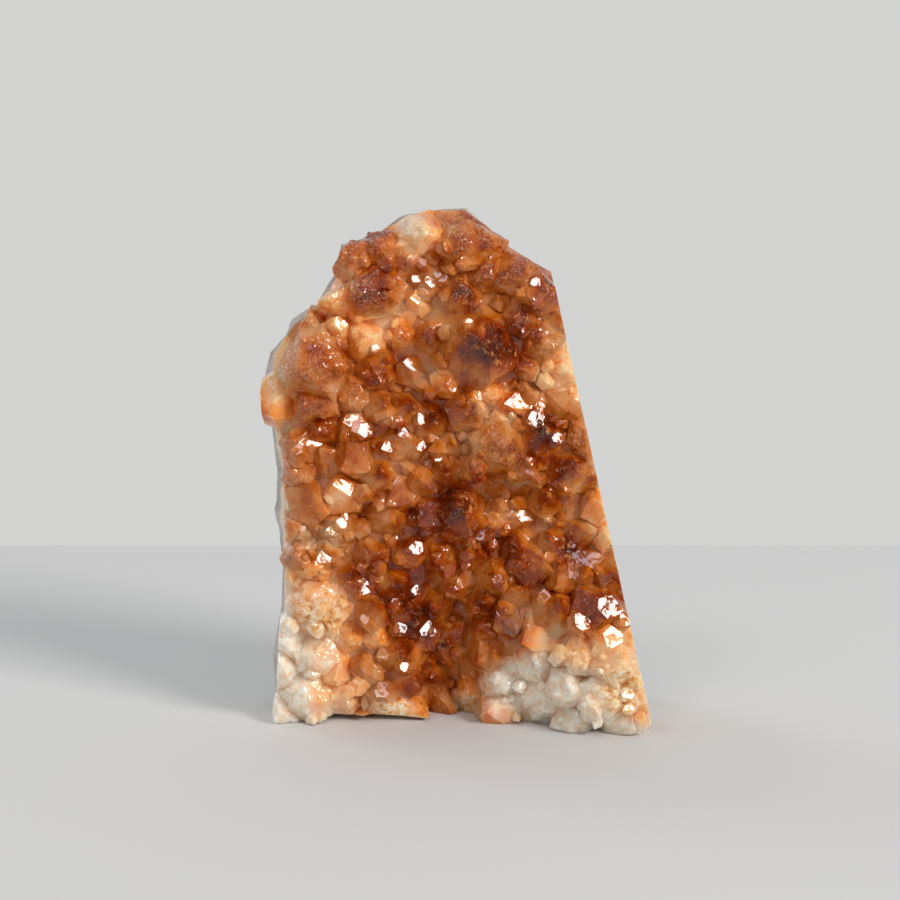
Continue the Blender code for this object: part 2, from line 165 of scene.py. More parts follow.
# Points that give the piece its look: x, z, across, lean to the right, lean up.
SHARP_POINTS = [
    # left half, from the shoulder down
    (-34, 51.5, 10.5, 0.2, 0.6), (-30, 40, 8.5, -0.1, 0.3), (-18, 57, 9.5, 0.1, 0.3),
    (-9, 56, 9, -0.2, 0.2), (-16.5, 47.5, 9.5, 0.2, -0.1), (-20.5, 39.5, 10.5, -0.1, 0.4),
    (-14.5, 31.5, 8.5, 0.2, 0.2), (-24.5, 34, 7.5, 0.2, 0.2), (-19.5, 26, 9, 0.1, 0.5),
    (-12.5, 24.5, 10.5, 0.2, 0.4), (-5, 27, 9, 0.3, 0.2), (-13.5, 15.5, 9.5, 0.2, 0.1),
    (-22, 12.5, 8.5, -0.2, 0.3), (-18, 5.5, 9.5, 0.1, 0.2), (-6.5, 9, 9, 0.1, -0.1),
    # middle
    (0, 48.5, 15, -0.1, 0.35), (-4.5, 37, 10.5, -0.2, 0.1), (4, 38.5, 7.5, 0.1, 0.2),
    (9, 54.5, 7.5, 0.1, -0.2), (-1, 20, 9.5, 0.3, 0.3), (-2, 64, 8.5, 0.1, 0.2),
    (-19, 80.5, 10.5, 0.2, -0.3), (-6.5, 70, 9.5, 0.1, 0.2), (2, 72, 9.5, 0.2, 0.1),
    # right half
    (25, 59, 11, 0.2, 0.4), (19.5, 52, 9, 0.0, 0.2), (17.5, 36.5, 11, 0.45, 0.15),
    (28, 44, 8, 0.2, 0.2), (29.5, 37, 11, 0.9, 0.8), (22, 27, 12, -0.1, 0.6),
    (5.5, 28.5, 10, -0.1, 0.2), (12, 23, 8, 0.2, -0.2), (6, 21.5, 7, -0.3, 0.4),
    (31.5, 50, 8.5, 0.3, 0.1), (13.5, 29.5, 8, 0.4, 0.4), (22.5, 72, 9.5, 0.2, 0.1),
    (29, 57, 8, 0.5, 0.2), (4.5, 87, 19, -0.05, 0.3),
]
# The same, each with one broad face that throws the key light at the eye.
BROAD_POINTS = [
    (-26.5, 54, 11, -0.3, 0.5), (-24, 68.5, 9.5, -0.3, 0.3), (-13, 65.5, 10, 0.2, 0.5),
    (-9.5, 63.5, 6, 0.5, 0.2), (-11, 39.5, 8.5, 0.3, 0.4), (-11, 81, 8.5, -0.2, 0.6),
    (-9.5, 96.5, 8, -0.2, 0.3), (-27, 90.5, 7, -0.2, 0.3), (-2.5, 78, 8.5, 0.3, -0.1),
    (11.5, 74, 8, -0.5, 0.0), (17, 73, 8, 0.2, -0.2), (13, 47.5, 12, 0.75, 0.2),
    (31.5, 28, 12.5, 0.4, 0.35), (-8, 19.5, 7.5, 0.4, 0.6), (-7, 100.5, 6.5, 0.1, 0.4),
]
# Blunt points, rubbed or overgrown with sugar-fine quartz.
WORN_POINTS = [
    (-33, 82, 17, -0.3, 0.1), (-33, 74, 12, -0.4, -0.2), (-20, 99, 14, -0.2, 0.2),
    (-27.5, 87, 9, 0.1, 0.2), (-18, 107, 10, -0.2, 0.4), (-8, 111, 11, -0.1, 0.5),
    (0, 109, 11, 0.0, 0.4), (6, 110, 9, 0.2, 0.5), (12, 102, 10, 0.2, 0.4),
    (18, 98.5, 10, 0.3, 0.3), (13, 93, 9, 0.1, 0.1), (18.5, 87, 10, 0.3, 0.0),
    (15, 81.5, 9.5, 0.2, -0.3), (22, 91, 8, 0.4, 0.1), (9, 65, 14, 0.2, 0.0),
    (14, 59.5, 9, 0.2, -0.3), (-6.5, 89, 10, -0.3, 0.2), (-13, 89, 9, 0.0, 0.0),
    (-24, 75, 9, 0.2, -0.2), (6, 102, 9, 0.1, 0.3), (-36, 64, 10, -0.4, 0.1),
    (-36, 57, 9, -0.4, -0.1), (-36, 38.5, 9.5, -0.4, 0.2), (-32.5, 26.5, 16, -0.2, 0.2),
    (-33, 15, 11, -0.3, 0.0), (-35, 6, 13, -0.3, 0.1), (-27, 5.5, 9, 0.1, 0.1),
    (-25, 20, 9, 0.2, 0.1), (10, 9, 10, 0.0, 0.0), (19.5, 6, 10, 0.0, -0.1),
    (26, 2, 9, 0.1, 0.0), (24.5, 10.5, 10, 0.0, 0.1), (33, 9, 12, 0.2, 0.1),
    (38, 2.5, 11, 0.3, 0.1), (35, 17, 11, 0.4, 0.3), (18, 15.5, 10, -0.1, 0.3),
    (27.5, 18, 10, 0.1, 0.4), (2.5, 5.5, 9, -0.3, 0.0), (27.5, 66, 8, 0.5, 0.1),
]
Point = namedtuple("Point", "x z across right up worn broad")

# Points between those, spread evenly and leaning at random.
FILL_SEED = 11
FILL_TRIES = 9000
FILL_SPACING = (5.4, 7.4)
FILL_ACROSS = (8.0, 11.5)
FILL_MARGIN = 0.8         # from the outline
FILL_CLEAR = 0.52         # from a larger neighbour, as a share of its width
FILL_LEAN = 0.3
WORN_ABOVE = 76.0         # filling points are worn above this height
SLOPE_LEAN = 0.6          # how much points follow the slope that they stand on
RISE = (-0.8, 1.0)        # how far a large point's sides rise over the crust

# A shallow hollow under the left foot: middle x, y and half sizes, then its rings as shares of
# its height and of its reach.
CHIP_MIDDLE = (-21, -2)
CHIP_HALF = (16.5, 8.5, 1.5)
CHIP_SIDES = 14
CHIP_RINGS = ((-1.0, 1.0), (0.45, 0.85), (0.85, 0.5), (1.0, 0.2))

# Limits of the geometry.
FLAT_TO = 1e-3            # three planes meet in no corner where their determinant is smaller
CORNER_SPARE = 1e-6       # how far a corner may lie outside a plane
CORNER_DIGITS = 4
FEWEST_CORNERS = 8        # of a small point that is worth growing
AT_CORNER = 1e-4          # keeps the weight of a corner finite for a spot right on it
HULL_FLAT = math.radians(0.5)
WELD_NEAR = 0.001
BASE_NEAR = 0.02          # a face this near the base, or the sawn side, may be sawn
SIDE_NEAR = 0.05
SAWN_FACING = 0.99        # and it looks this squarely away from the stone

# ---------------------------------------------------------------------------------------------
# What the finish adds
# ---------------------------------------------------------------------------------------------
# Small points grown on the large ones.
SMALL_SEED = 23
SMALL_TRIES = 6           # for each small point that is wanted
SMALL_OUT = 0.7           # how much a small point follows its ground
SMALL_FORWARD = Vector((0, -0.5, 0))  # and turns to the front
SMALL_LEAN = 0.45
SMALL_ROOT = 0.8          # as a share of a small point's width
SMALL_RISE = (-0.1, 0.5)  # likewise
SMALL_THINNER = (0.7, 1.0)
SMALL_TINT = 0.5          # how far its tint may lie from half its ground's
SMALL_SIDE_CLEAR = 0.5    # from the sawn side
SMALL_FACING = -0.05      # the ground's normal has at most this y
SMALL_PALER = 0.8         # share of its ground's depth of colour that a small point's foot has
BARE = [(4.5, 86, 8.5), (0, 48, 7), (22, 27, 6.5), (-33, 80, 6)]  # large points that bear none
RIM_CLEAR = 3.0           # the outline's rim: no small points at the top, no lumps of rind
SMALL_DEEPER = 0.1        # how much deeper in colour a small point's tip is than its ground
CLEAN_TIP = 0.22          # sharp points are clean above this share of their height
WORN_CLEAN_TIP = 0.4      # and worn ones above this

# Small flat faces that flash: x, z, across, and the light that they catch.
FLASHES = [
    (-22.3, 67.5, 5, KEY), (-31, 38, 4.5, KEY), (-16.5, 63.5, 3.5, KEY), (-1, 36, 3, KEY),
    (-27, 46, 3, KEY), (-29, 44.5, 2.5, KEY), (-25, 43.5, 2.5, SKY), (-26, 47.5, 2, KEY),
    (-3, 104, 3, KEY), (-6, 106, 3.5, KEY), (-8.5, 104.5, 3, SKY), (-5, 102, 3.5, SKY),
    (-10, 101.5, 3, KEY), (-8, 98, 3, SKY), (26.5, 25.5, 5, KEY), (33, 22, 6, KEY),
    (36, 26, 4, KEY), (-4, 101, 3.5, SKY), (-17, 7, 4.5, SKY), (-13, 13, 3.5, KEY),
    (-17.5, 15.5, 3, SKY), (-5, 61.5, 3, KEY), (-7, 59.5, 2.5, SKY), (16, 58.5, 2.5, SKY),
    (-9, 70, 3, KEY), (-14, 22, 3.5, KEY), (5, 43, 3, SKY), (-27, 91.5, 3.5, KEY),
    (21, 66, 3.5, KEY), (16.5, 70, 4.5, KEY), (1.5, 92, 2.5, KEY), (16.5, 101, 3, KEY),
    (-36, 63, 3.5, SKY), (-19, 86, 2.5, KEY), (3.5, 75.5, 3, KEY), (-10.5, 30, 3, KEY),
    (8.5, 33.5, 3, SKY), (13, 37, 2.5, KEY), (25.5, 41.5, 3, SKY), (-33, 12, 3, KEY),
    (19, 30, 3.5, SKY), (-21, 24, 3, SKY), (37, 10, 3.5, KEY), (28.5, 7, 3, KEY),
]
FLASH_REACH = 0.5         # how far out along a small point its flashing face lies
FLASH_LEAN = 0.3
FLASH_RISE = 0.3          # as a share of the point's width
FLASH_TINT = 0.3
FLASH_TIPS = (0.3, 0.5)   # its foot and its tip are coloured as a large point's are this far up

# Colour zones in the crust: x, z, reach across, reach up, strength.
MILK_ZONES = [
    (-33, 4, 12, 9, 0.9), (-31, 7, 3.5, 3.5, -0.5), (-41, 14, 5, 20, 0.9),
    (11, 7, 8, 7, 1.0), (20, 4, 8, 7, 0.9),
    (28, 4, 7, 8, 0.9), (39, 0, 9, 5, 0.9), (-42, 48, 3.5, 26, 1.0),
    (-33, 18, 8, 5, 0.7), (-10, 113, 6, 4, 0.6), (17, 14.5, 6, 5, 0.7), (29, 15, 5, 4, 0.5),
]
MILKY_FROM = 0.25         # quartz at least this hazy is milky, not clear
CLEAR_MILK = 0.3          # how much of its whiteness shows on clear quartz
ZONE_FROM = 0.35          # a zone shows where it is stronger than this
ZONE_GAIN = 2.2
PEACH_GAIN = 2
HONEY_ZONES = [
    (-31, 25, 9, 11, 0.8), (-38, 50, 5, 20, 0.4), (24, 12, 6, 6, 0.8), (36, 11, 7, 8, 1.0),
    (14, 24, 6, 6, 0.6), (2, 3, 5, 4, 0.9), (-22, 8, 8, 7, 0.6), (-15, 2, 6, 4, 0.8),
    (-41, 78, 4, 8, 0.7),
    (5, 74, 3, 6, 0.6),
]

# How deep the colour is on the whole, and zones where it is deeper or hazier.
USUAL_DEPTH = 0.44
DEPTH_LUMPS = 0.5
DEPTH_GAIN = 1.2
DEPTH_ZONES = [
    # peach haze
    (-11, 112, 6, 5, -0.45), (-28, 97, 5, 9, -0.25), (-18, 89, 6, 5, -0.35),
    (-40, 80, 5, 10, -0.3), (7, 66, 7, 8, -0.05), (23, 79, 5, 7, -0.4), (31, 46, 4, 10, -0.25),
    (-38, 55, 6, 16, -0.1), (-33, 25, 10, 14, -0.22), (-34, 5, 10, 10, -0.25),
    (24, 16, 10, 8, -0.35), (34, 11, 9, 12, -0.5), (12, 8, 8, 8, -0.25), (-9, 97, 6, 7, -0.15),
    (10, 75, 5, 6, -0.2), (-3, 79, 5, 5, -0.25), (-22, 75, 3, 4, -0.2), (8, 46, 4, 4, -0.35),
    (14, 28, 4, 4, -0.25), (26, 60, 4, 6, -0.25), (22, 21, 6, 4, -0.25), (-16, 20, 4, 5, -0.3),
    (-28, 52, 4, 4, -0.35), (-16, 46, 3, 4, -0.2), (-35, 33, 4, 4, -0.1), (26, 83, 4, 5, -0.2),
    # iron-brown clouds
    (-21, 109, 6, 5, 0.25), (-19, 99, 6, 5, 0.2), (1, 112, 7, 5, 0.15), (6, 85, 7, 7, 0.35),
    (18, 97, 8, 9, 0.15), (5, 87, 5, 5, 0.1), (-16, 81, 6, 5, 0.25), (-4, 73, 7, 6, 0.15),
    (-32, 77, 8, 8, 0.2), (-16, 83, 4, 4, 0.15), (8, 83, 4, 4, 0.2), (-1, 100, 5, 4, 0.25),
    (-22, 64, 5, 4, 0.2), (-34, 64, 3, 4, 0.15), (-16, 53, 4, 4, 0.25), (-10, 40, 4, 4, 0.3),
    (14, 40, 4, 4, 0.2), (26, 40, 4, 4, 0.2), (20, 70, 4, 4, 0.3), (-22, 33, 4, 4, 0.2),
    (23, 59, 8, 9, 0.2), (-2, 49, 9, 7, 0.3), (-15, 30, 11, 9, 0.25), (-10, 20, 6, 6, 0.25),
    (10, 30, 8, 12, 0.2), (29, 29, 8, 8, 0.2), (12, 21, 4, 5, 0.3), (-5, 10, 7, 9, 0.15),
]

# Unevenness of the colours and of the surfaces, as size of one lump and its height.
COLOUR_LUMPS = ((9.0, 0.5), (3.0, 0.35))
WORN_LUMPS = ((4.0, 0.6), (1.7, 0.4), (0.9, 0.2))
CLEAN_LUMPS = ((3.0, 0.08),)
MILK_LUMPS = ((2.6, 0.4), (1.3, 0.25))
RIND_LUMPS = ((11.0, 2.4), (5.0, 2.2), (2.6, 1.4), (1.3, 0.6))
RIND_EDGE_RELIEF = 0.35   # share of the rind's relief at the outline
RIND_RELIEF_REACH = 10    # how far in from the outline that share has grown by 1
RIND_FRONT = 1.0          # how far behind the seam the rind keeps its shape
RIND_CRISP = math.radians(50)
TABLE_CRISP = math.radians(40)
SOFT_FROM = 0.6           # points worn more than this have soft edges
SPLIT_PASSES = 5

# The crust's materials, by number.
CLEAR, MILKY, SAWN, QUARTZ_ROOT = range(4)

# How far red, green and blue light wander in the quartz, as shares of the glow.
CLEAR_WANDER = (1.0, 0.8, 0.65)
MILKY_WANDER = (1.0, 1.0, 1.0)
SAWN_WANDER = (1.0, 0.7, 0.5)

# The table top, in metres.
TABLE_REACH = 2.0
TABLE_THICKNESS = 0.03
TABLE_ROUNDING = 0.003


# ---------------------------------------------------------------------------------------------
# Form
# ---------------------------------------------------------------------------------------------
def falloff(x, z, middle_x, middle_z, reach_x, reach_z):
    """1 at the middle of a swell, fading away beyond its reach."""
    return math.exp(-(((x - middle_x) / reach_x) ** 2 + ((z - middle_z) / reach_z) ** 2))


def zone(x, z, zones):
    """How strongly a spot lies in any of the zones."""
    return sum(
        strength * falloff(x, z, middle_x, middle_z, reach_x, reach_z)
        for middle_x, middle_z, reach_x, reach_z, strength in zones)


def crust_face(x, z):
    """y of the crust's general surface, which the points stand on."""
    return FACE_LEVEL - zone(x, z, SWELLS)


def seam(x, z):
    """y of the joint between crust and rind."""
    left = 1 / (1 + math.exp((x - SEAM_LEFT_X) / SEAM_LEFT_WIDTH))
    return SEAM_LEVEL - SEAM_LEFT_FORWARD * left - SEAM_TOP_FORWARD * max(0.0, z / HEIGHT) ** 2


def sawn_side(z):
    """x of the sawn side at a height."""
    return FOOT_RIGHT - SAWN_SIDE_SLOPE * z


def edge_place(corner, share):
    """x, z a share of the way from the middle to a corner of the edge."""
    return Vector(MIDDLE) + (Vector(corner) - Vector(MIDDLE)) * share


def distance_past(x, z, start, end):
    """How far a spot lies outside a stretch of the edge, and how far it lies from it."""
    start, end, spot = Vector(start), Vector(end), Vector((x, z))
    line = end - start
    out = Vector((-line.y, line.x)).normalized()
    share = max(0.0, min(1.0, (spot - start).dot(line) / line.length_squared))
    return (spot - start).dot(out), (spot - start - line * share).length


def stretches(corners):
    """Each two corners that follow one another."""
    return list(zip(corners, corners[1:]))


OUTLINE = stretches(EDGE + EDGE[:1])


def edge_room(x, z):
    """How far a spot lies from the outline of the slab."""
    return min(distance_past(x, z, *ends)[1] for ends in OUTLINE)


def inside(x, z, margin):
    """Whether a spot lies inside the slab by at least that margin."""
    crossings = sum(
        (z1 > z) != (z2 > z) and x < x1 + (z - z1) * (x2 - x1) / (z2 - z1)
        for (x1, z1), (x2, z2) in OUTLINE)
    return crossings % 2 == 1 and edge_room(x, z) >= margin


def surface_ring(surface, share, offset=0.0):
    """A ring of places on a surface, a share of the way out to the edge."""
    ring = []
    for corner in EDGE:
        x, z = edge_place(corner, share)
        ring.append(Vector((x, surface(x, z) + offset, z)))
    return ring


def surface_middle(surface, offset=0.0):
    """The place on a surface that its rings lie round."""
    x, z = MIDDLE
    return Vector((x, surface(x, z) + offset, z))


def body_mesh(name, rings, first, last):
    """A closed body from rings of equal counts of places, and a place at each end."""
    bm = bmesh.new()
    loops = [[bm.verts.new(place * MM) for place in ring] for ring in rings]
    start, end = bm.verts.new(first * MM), bm.verts.new(last * MM)
    count = len(loops[0])
    for i in range(count):
        j = (i + 1) % count
        bm.faces.new((start, loops[0][i], loops[0][j]))
        for ring, following in zip(loops, loops[1:]):
            bm.faces.new((ring[i], following[i], following[j], ring[j]))
        bm.faces.new((loops[-1][j], loops[-1][i], end))
    bmesh.ops.recalc_face_normals(bm, faces=bm.faces)
    mesh = bpy.data.meshes.new(name)
    bm.to_mesh(mesh)
    bm.free()
    return mesh


def crust_bed_mesh():
    """The massive quartz under the points, from the seam to the crust's general surface."""
    rings = [surface_ring(seam, share, SEAM_GROWN) for share in SEAM_SHARES]
    for share in FACE_SHARES:
        turn = max(0.0, (share - 1 + EDGE_TURN) / EDGE_TURN) ** 2
        ring = []
        for place in surface_ring(crust_face, share):
            edge_y = seam(place.x, place.z) - EDGE_DEPTH
            place.y += max(0.0, edge_y - place.y) * turn
            place.y = min(place.y, edge_y)
            ring.append(place)
        rings.append(ring)
    return body_mesh("bed", rings, surface_middle(seam, SEAM_GROWN), surface_middle(crust_face))


def corners_within(planes):
    """The corners of the solid on the inner side of every plane, each (normal, distance)."""
    normals = np.array([tuple(normal) for normal, _ in planes])
    distances = np.array([distance for _, distance in planes])
    threes = np.array(list(itertools.combinations(range(len(planes)), 3)))
    threes = threes[np.abs(np.linalg.det(normals[threes])) > FLAT_TO]
    corners = np.linalg.solve(normals[threes], distances[threes][..., None])[..., 0]
    kept = corners[(corners @ normals.T <= distances + CORNER_SPARE).all(axis=1)]
    return np.unique(np.round(kept, CORNER_DIGITS), axis=0)


def ring_of_planes(tilt, reaches, turn=0.0):
    """One plane for each reach, evenly round +Z, tilted from +Z and crossing it at that reach."""
    planes = []
    for i, reach in enumerate(reaches):
        angle = turn + 2 * math.pi * i / len(reaches)
        out = Vector((math.cos(angle), math.sin(angle), 0))
        planes.append((out * math.sin(tilt) + Vector((0, 0, math.cos(tilt))),
                       reach * math.cos(tilt)))
    return planes


def point_planes(across, rise, worn, rng, root=ROOT):
    """The faces of a quartz point in its own frame: +Z is its length, the origin its foot."""
    def grown(size):
        return size * rng.uniform(1 - UNEVEN, 1 + UNEVEN)

    half = across / 2
    tip = rise + half * TIP_SHARE
    planes = [(Vector((0, 0, -1)), root)]
    for i in range(SIDES):
        angle = 2 * math.pi * i / SIDES
        planes.append((Vector((math.cos(angle), math.sin(angle), 0)), grown(half)))
    reaches = [grown(tip * (MINOR_REACH if i % 2 else 1)) for i in range(SIDES)]
    planes += ring_of_planes(FACE_TILT, reaches)
    if worn:
        blunt = [grown(tip * WORN_REACH) for _ in range(SIDES - 1)]
        planes += ring_of_planes(WORN_TILT, blunt, rng.uniform(0, 1))
    return planes, tip


def edge_planes(foot):
    """Planes that keep a point from standing out past the broken edge near it."""
    planes = []
    for start, end in stretches(BROKEN_EDGE):
        past, away = distance_past(foot.x, foot.z, start, end)
        if away < EDGE_NEAR and past < EDGE_PAST:
            line = Vector(end) - Vector(start)
            out = Vector((-line.y, 0, line.x)).normalized()
            low_left = foot.x < LEFT_BULGE_X and foot.z < LEFT_BULGE_Z
            planes.append((out, (LEFT_BULGE if low_left else BULGE_OVER_EDGE) - past))
    return planes


def along(axis, rng):
    """A frame whose +Z is that axis, turned about it at random."""
    turn = Matrix.Rotation(rng.uniform(0, 2 * math.pi / SIDES), 3, "Z")
    return axis.to_track_quat("Z", "Y").to_matrix() @ turn


def flash_way(place, light):
    """The way that a face at that place looks when it throws the light at the eye."""
    return ((light - place).normalized() + (EYE - place).normalized()).normalized()


def corners_in_place(planes, turned, foot, cuts=()):
    """The corners of a point on its foot: its own planes turned, and cuts that lie as they are."""
    planes = [(turned @ normal, distance) for normal, distance in planes]
    return corners_within(planes + list(cuts) + edge_planes(foot)) + np.array(foot)


def large_point(point, rng):
    """The corners of one large point in place on the crust, its foot, its axis and its height."""
    axis = Vector((point.right, -1, point.up)).normalized()
    turned = along(axis, rng)
    planes, tip = point_planes(point.across, rng.uniform(*RISE), point.worn, rng)
    foot = Vector((point.x, crust_face(point.x, point.z), point.z))
    cuts = [(flash_way(foot, KEY), tip * BROAD_REACH)] if point.broad else []
    deepest = min(seam(point.x + side * point.across / 2, point.z) for side in (-1, 1))
    cuts.append((Vector((0, 1, 0)), deepest - SEAM_CLEAR - foot.y))
    return corners_in_place(planes, turned, foot, cuts), foot, axis, tip


def named_points():
    """The points of the three tables."""
    groups = ((SHARP_POINTS, False, False), (BROAD_POINTS, False, True),
              (WORN_POINTS, True, False))
    return [Point(*place, worn, broad) for places, worn, broad in groups for place in places]


def filling_points(others, rng):
    """Points over the rest of the crust, no nearer each other than the spacing."""
    points = []
    for _ in range(FILL_TRIES):
        x, z = rng.uniform(-FOOT_RIGHT, FOOT_RIGHT), rng.uniform(0, HEIGHT)
        spacing, across = rng.uniform(*FILL_SPACING), rng.uniform(*FILL_ACROSS)
        if x > sawn_side(z) or not inside(x, z, FILL_MARGIN):
            continue
        near = any(math.hypot(x - p.x, z - p.z) < max(spacing, FILL_CLEAR * p.across)
                   for p in others + points)
        if near:
            continue
        slope_x = crust_face(x + 1, z) - crust_face(x - 1, z)
        slope_z = crust_face(x, z + 1) - crust_face(x, z - 1)
        points.append(Point(x, z, across, slope_x * SLOPE_LEAN + rng.gauss(0, FILL_LEAN),
                            slope_z * SLOPE_LEAN + rng.gauss(0, FILL_LEAN),
                            z > WORN_ABOVE, False))
    return points


# ---------------------------------------------------------------------------------------------
# Meshes
# ---------------------------------------------------------------------------------------------
GROWTH = ("tip", "tint", "worn")  # what each vertex knows of the point that it belongs to


def write_numbers(mesh, values):
    """Stores one number a vertex under each of the names."""
    for name, numbers in values.items():
        attribute = mesh.attributes.new(name, "FLOAT", "POINT")
        attribute.data.foreach_set("value", np.asarray(numbers, np.float32))


def read_growth(mesh):
    """The numbers stored under the names in GROWTH, one row a name."""
    rows = np.zeros((len(GROWTH), len(mesh.vertices)), np.float32)
    for row, name in zip(rows, GROWTH):
        if name in mesh.attributes:
            mesh.attributes[name].data.foreach_get("value", row)
    return rows


def convex_tool(name, corners, collection, materials=(), index=0):
    """The convex solid round these corners, as a tool for a Boolean."""
    bm = bmesh.new()
    for corner in corners:
        bm.verts.new(Vector(corner) * MM)
    bmesh.ops.convex_hull(bm, input=bm.verts)
    bmesh.ops.dissolve_limit(bm, angle_limit=HULL_FLAT, verts=bm.verts, edges=bm.edges)
    bmesh.ops.recalc_face_normals(bm, faces=bm.faces)
    mesh = bpy.data.meshes.new(name)
    bm.to_mesh(mesh)
    bm.free()
    for material in materials:
        mesh.materials.append(material)
    mesh.polygons.foreach_set("material_index", [index] * len(mesh.polygons))
    tool = bpy.data.objects.new(name, mesh)
    collection.objects.link(tool)
    return tool


def grown_tool(name, corners, foot, axis, tip, tint, worn, collection, quartz, first=0.0,
               last=1.0):
    """A quartz point as a tool, whose vertices know how near the tip they are: from first at
    its foot to last at its tip. It is of clear or of milky quartz by where it stands.
    """
    milky = haze_at(np.array([tuple(foot * MM)]))[0] > MILKY_FROM
    tool = convex_tool(name, corners, collection, quartz, int(milky))
    places = np.array([tuple(v.co) for v in tool.data.vertices]) / MM
    heights = np.clip((places - np.array(foot)) @ np.array(axis) / tip, 0, 1)
    heights = first + (last - first) * heights
    count = len(heights)
    write_numbers(tool.data, {
        "tip": heights, "tint": np.full(count, tint), "worn": np.full(count, float(worn))})
    return tool


def tool_collection(name):
    """A collection for the tools of one round of Booleans."""
    collection = bpy.data.collections.new(name)
    bpy.context.scene.collection.children.link(collection)
    return collection


def delete_collection(collection):
    """Deletes a collection with all its objects."""
    for obj in list(collection.objects):
        mesh = obj.data
        bpy.data.objects.remove(obj)
        bpy.data.meshes.remove(mesh)
    bpy.data.collections.remove(collection)


def boolean(obj, operation, tool):
    """Joins obj with every object of a collection, or cuts one object from it."""
    modifier = obj.modifiers.new(tool.name, "BOOLEAN")
    modifier.operation = operation
    modifier.solver = "MANIFOLD"
    if isinstance(tool, bpy.types.Collection):
        modifier.operand_type = "COLLECTION"
        modifier.collection = tool
    else:
        modifier.object = tool


def settle(obj):
    """Turns the object's modifiers into its mesh."""
    bpy.context.view_layer.update()
    graph = bpy.context.evaluated_depsgraph_get()
    mesh = bpy.data.meshes.new_from_object(obj.evaluated_get(graph))
    obj.modifiers.clear()
    old = obj.data
    obj.data = mesh
    bpy.data.meshes.remove(old)


def join_all(crust, tools):
    """Joins the crust with all the tools, and deletes them."""
    boolean(crust, "UNION", tools)
    settle(crust)
    delete_collection(tools)


def saw_blocks(collection):
    """Blocks that take away the stone below the base and beyond the sawn side."""
    def block(name, outline):
        return convex_tool(name, [(x, y, z) for x, z in outline for y in (-FAR, FAR)], collection)

    below = block("below_base", [(-FAR, 0), (FAR, 0), (FAR, -FAR), (-FAR, -FAR)])
    beside = block("beside", [(sawn_side(-FAR), -FAR), (sawn_side(FAR), FAR),
                              (2 * FAR, FAR), (2 * FAR, -FAR)])
    return [below, beside]


def chip_tool(collection):
    """The hollow under the left foot: a flat dome with its rim below the base."""
    corners = []
    for height, share in CHIP_RINGS:
        for i in range(CHIP_SIDES):
            angle = 2 * math.pi * i / CHIP_SIDES
            corners.append((CHIP_MIDDLE[0] + CHIP_HALF[0] * share * math.cos(angle),
                            CHIP_MIDDLE[1] + CHIP_HALF[1] * share * math.sin(angle),
                            CHIP_HALF[2] * height))
    return convex_tool("chip", corners, collection)


def ground_at(tree, x, z):
    """Where the crust's front lies at x, z: its place, its normal and its face."""
    return tree.ray_cast(Vector((x, -FAR, z)) * MM, Vector((0, 1, 0)))[:3]


def small_points(crust, count, across_range, collection, quartz, rng):
    """Small points on the flanks of the large ones and between them."""
    tree = BVHTree.FromObject(crust, bpy.context.evaluated_depsgraph_get())
    growth = read_growth(crust.data)
    made = 0
    for _ in range(count * SMALL_TRIES):
        if made == count:
            break
        x, z = rng.uniform(-FOOT_RIGHT, FOOT_RIGHT), rng.uniform(1, HEIGHT)
        beside = x > sawn_side(z) - SMALL_SIDE_CLEAR
        if beside or (z > WORN_ABOVE and not inside(x, z, RIM_CLEAR)):
            continue
        place, normal, face = ground_at(tree, x, z)
        bare = any(math.hypot(x - bare_x, z - bare_z) < reach for bare_x, bare_z, reach in BARE)
        if place is None or normal.y > SMALL_FACING or bare:
            continue
        corners = crust.data.polygons[face].vertices
        near = [1 / ((crust.data.vertices[i].co - place).length + AT_CORNER) for i in corners]
        tip, tint, worn = (growth[:, corners] * near).sum(axis=1) / sum(near)
        if tip > (WORN_CLEAN_TIP if worn > 0.5 else CLEAN_TIP):
            continue
        foot = place / MM
        axis = (normal * SMALL_OUT + SMALL_FORWARD + Vector(
            [rng.gauss(0, SMALL_LEAN) for _ in range(3)])).normalized()
        if axis.y > 0:
            continue
        across = rng.uniform(*across_range) * rng.uniform(*SMALL_THINNER)
        planes, height = point_planes(across, rng.uniform(*SMALL_RISE) * across, False, rng,
                                      SMALL_ROOT * across)
        small = corners_in_place(planes, along(axis, rng), foot)
        if len(small) < FEWEST_CORNERS:
            continue
        grown_tool(f"small_{made:04d}", small, foot, axis, height,
                   tint / 2 + rng.uniform(-SMALL_TINT, SMALL_TINT), worn / 2, collection, quartz,
                   tip * SMALL_PALER, tip + SMALL_DEEPER)
        made += 1


def flashing_points(crust, collection, quartz, rng):
    """The small points whose flat faces flash."""
    tree = BVHTree.FromObject(crust, bpy.context.evaluated_depsgraph_get())
    for i, (x, z, across, light) in enumerate(FLASHES):
        foot = ground_at(tree, x, z)[0] / MM
        way = flash_way(foot, light)
        axis = (way + Vector([rng.gauss(0, FLASH_LEAN) for _ in range(3)])).normalized()
        planes, height = point_planes(across, FLASH_RISE * across, False, rng, across)
        corners = corners_in_place(planes, along(axis, rng), foot, [(way, height * FLASH_REACH)])
        grown_tool(f"flash_{i:02d}", corners, foot, axis, height,
                   rng.uniform(-FLASH_TINT, FLASH_TINT), 0.0, collection, quartz, *FLASH_TIPS)


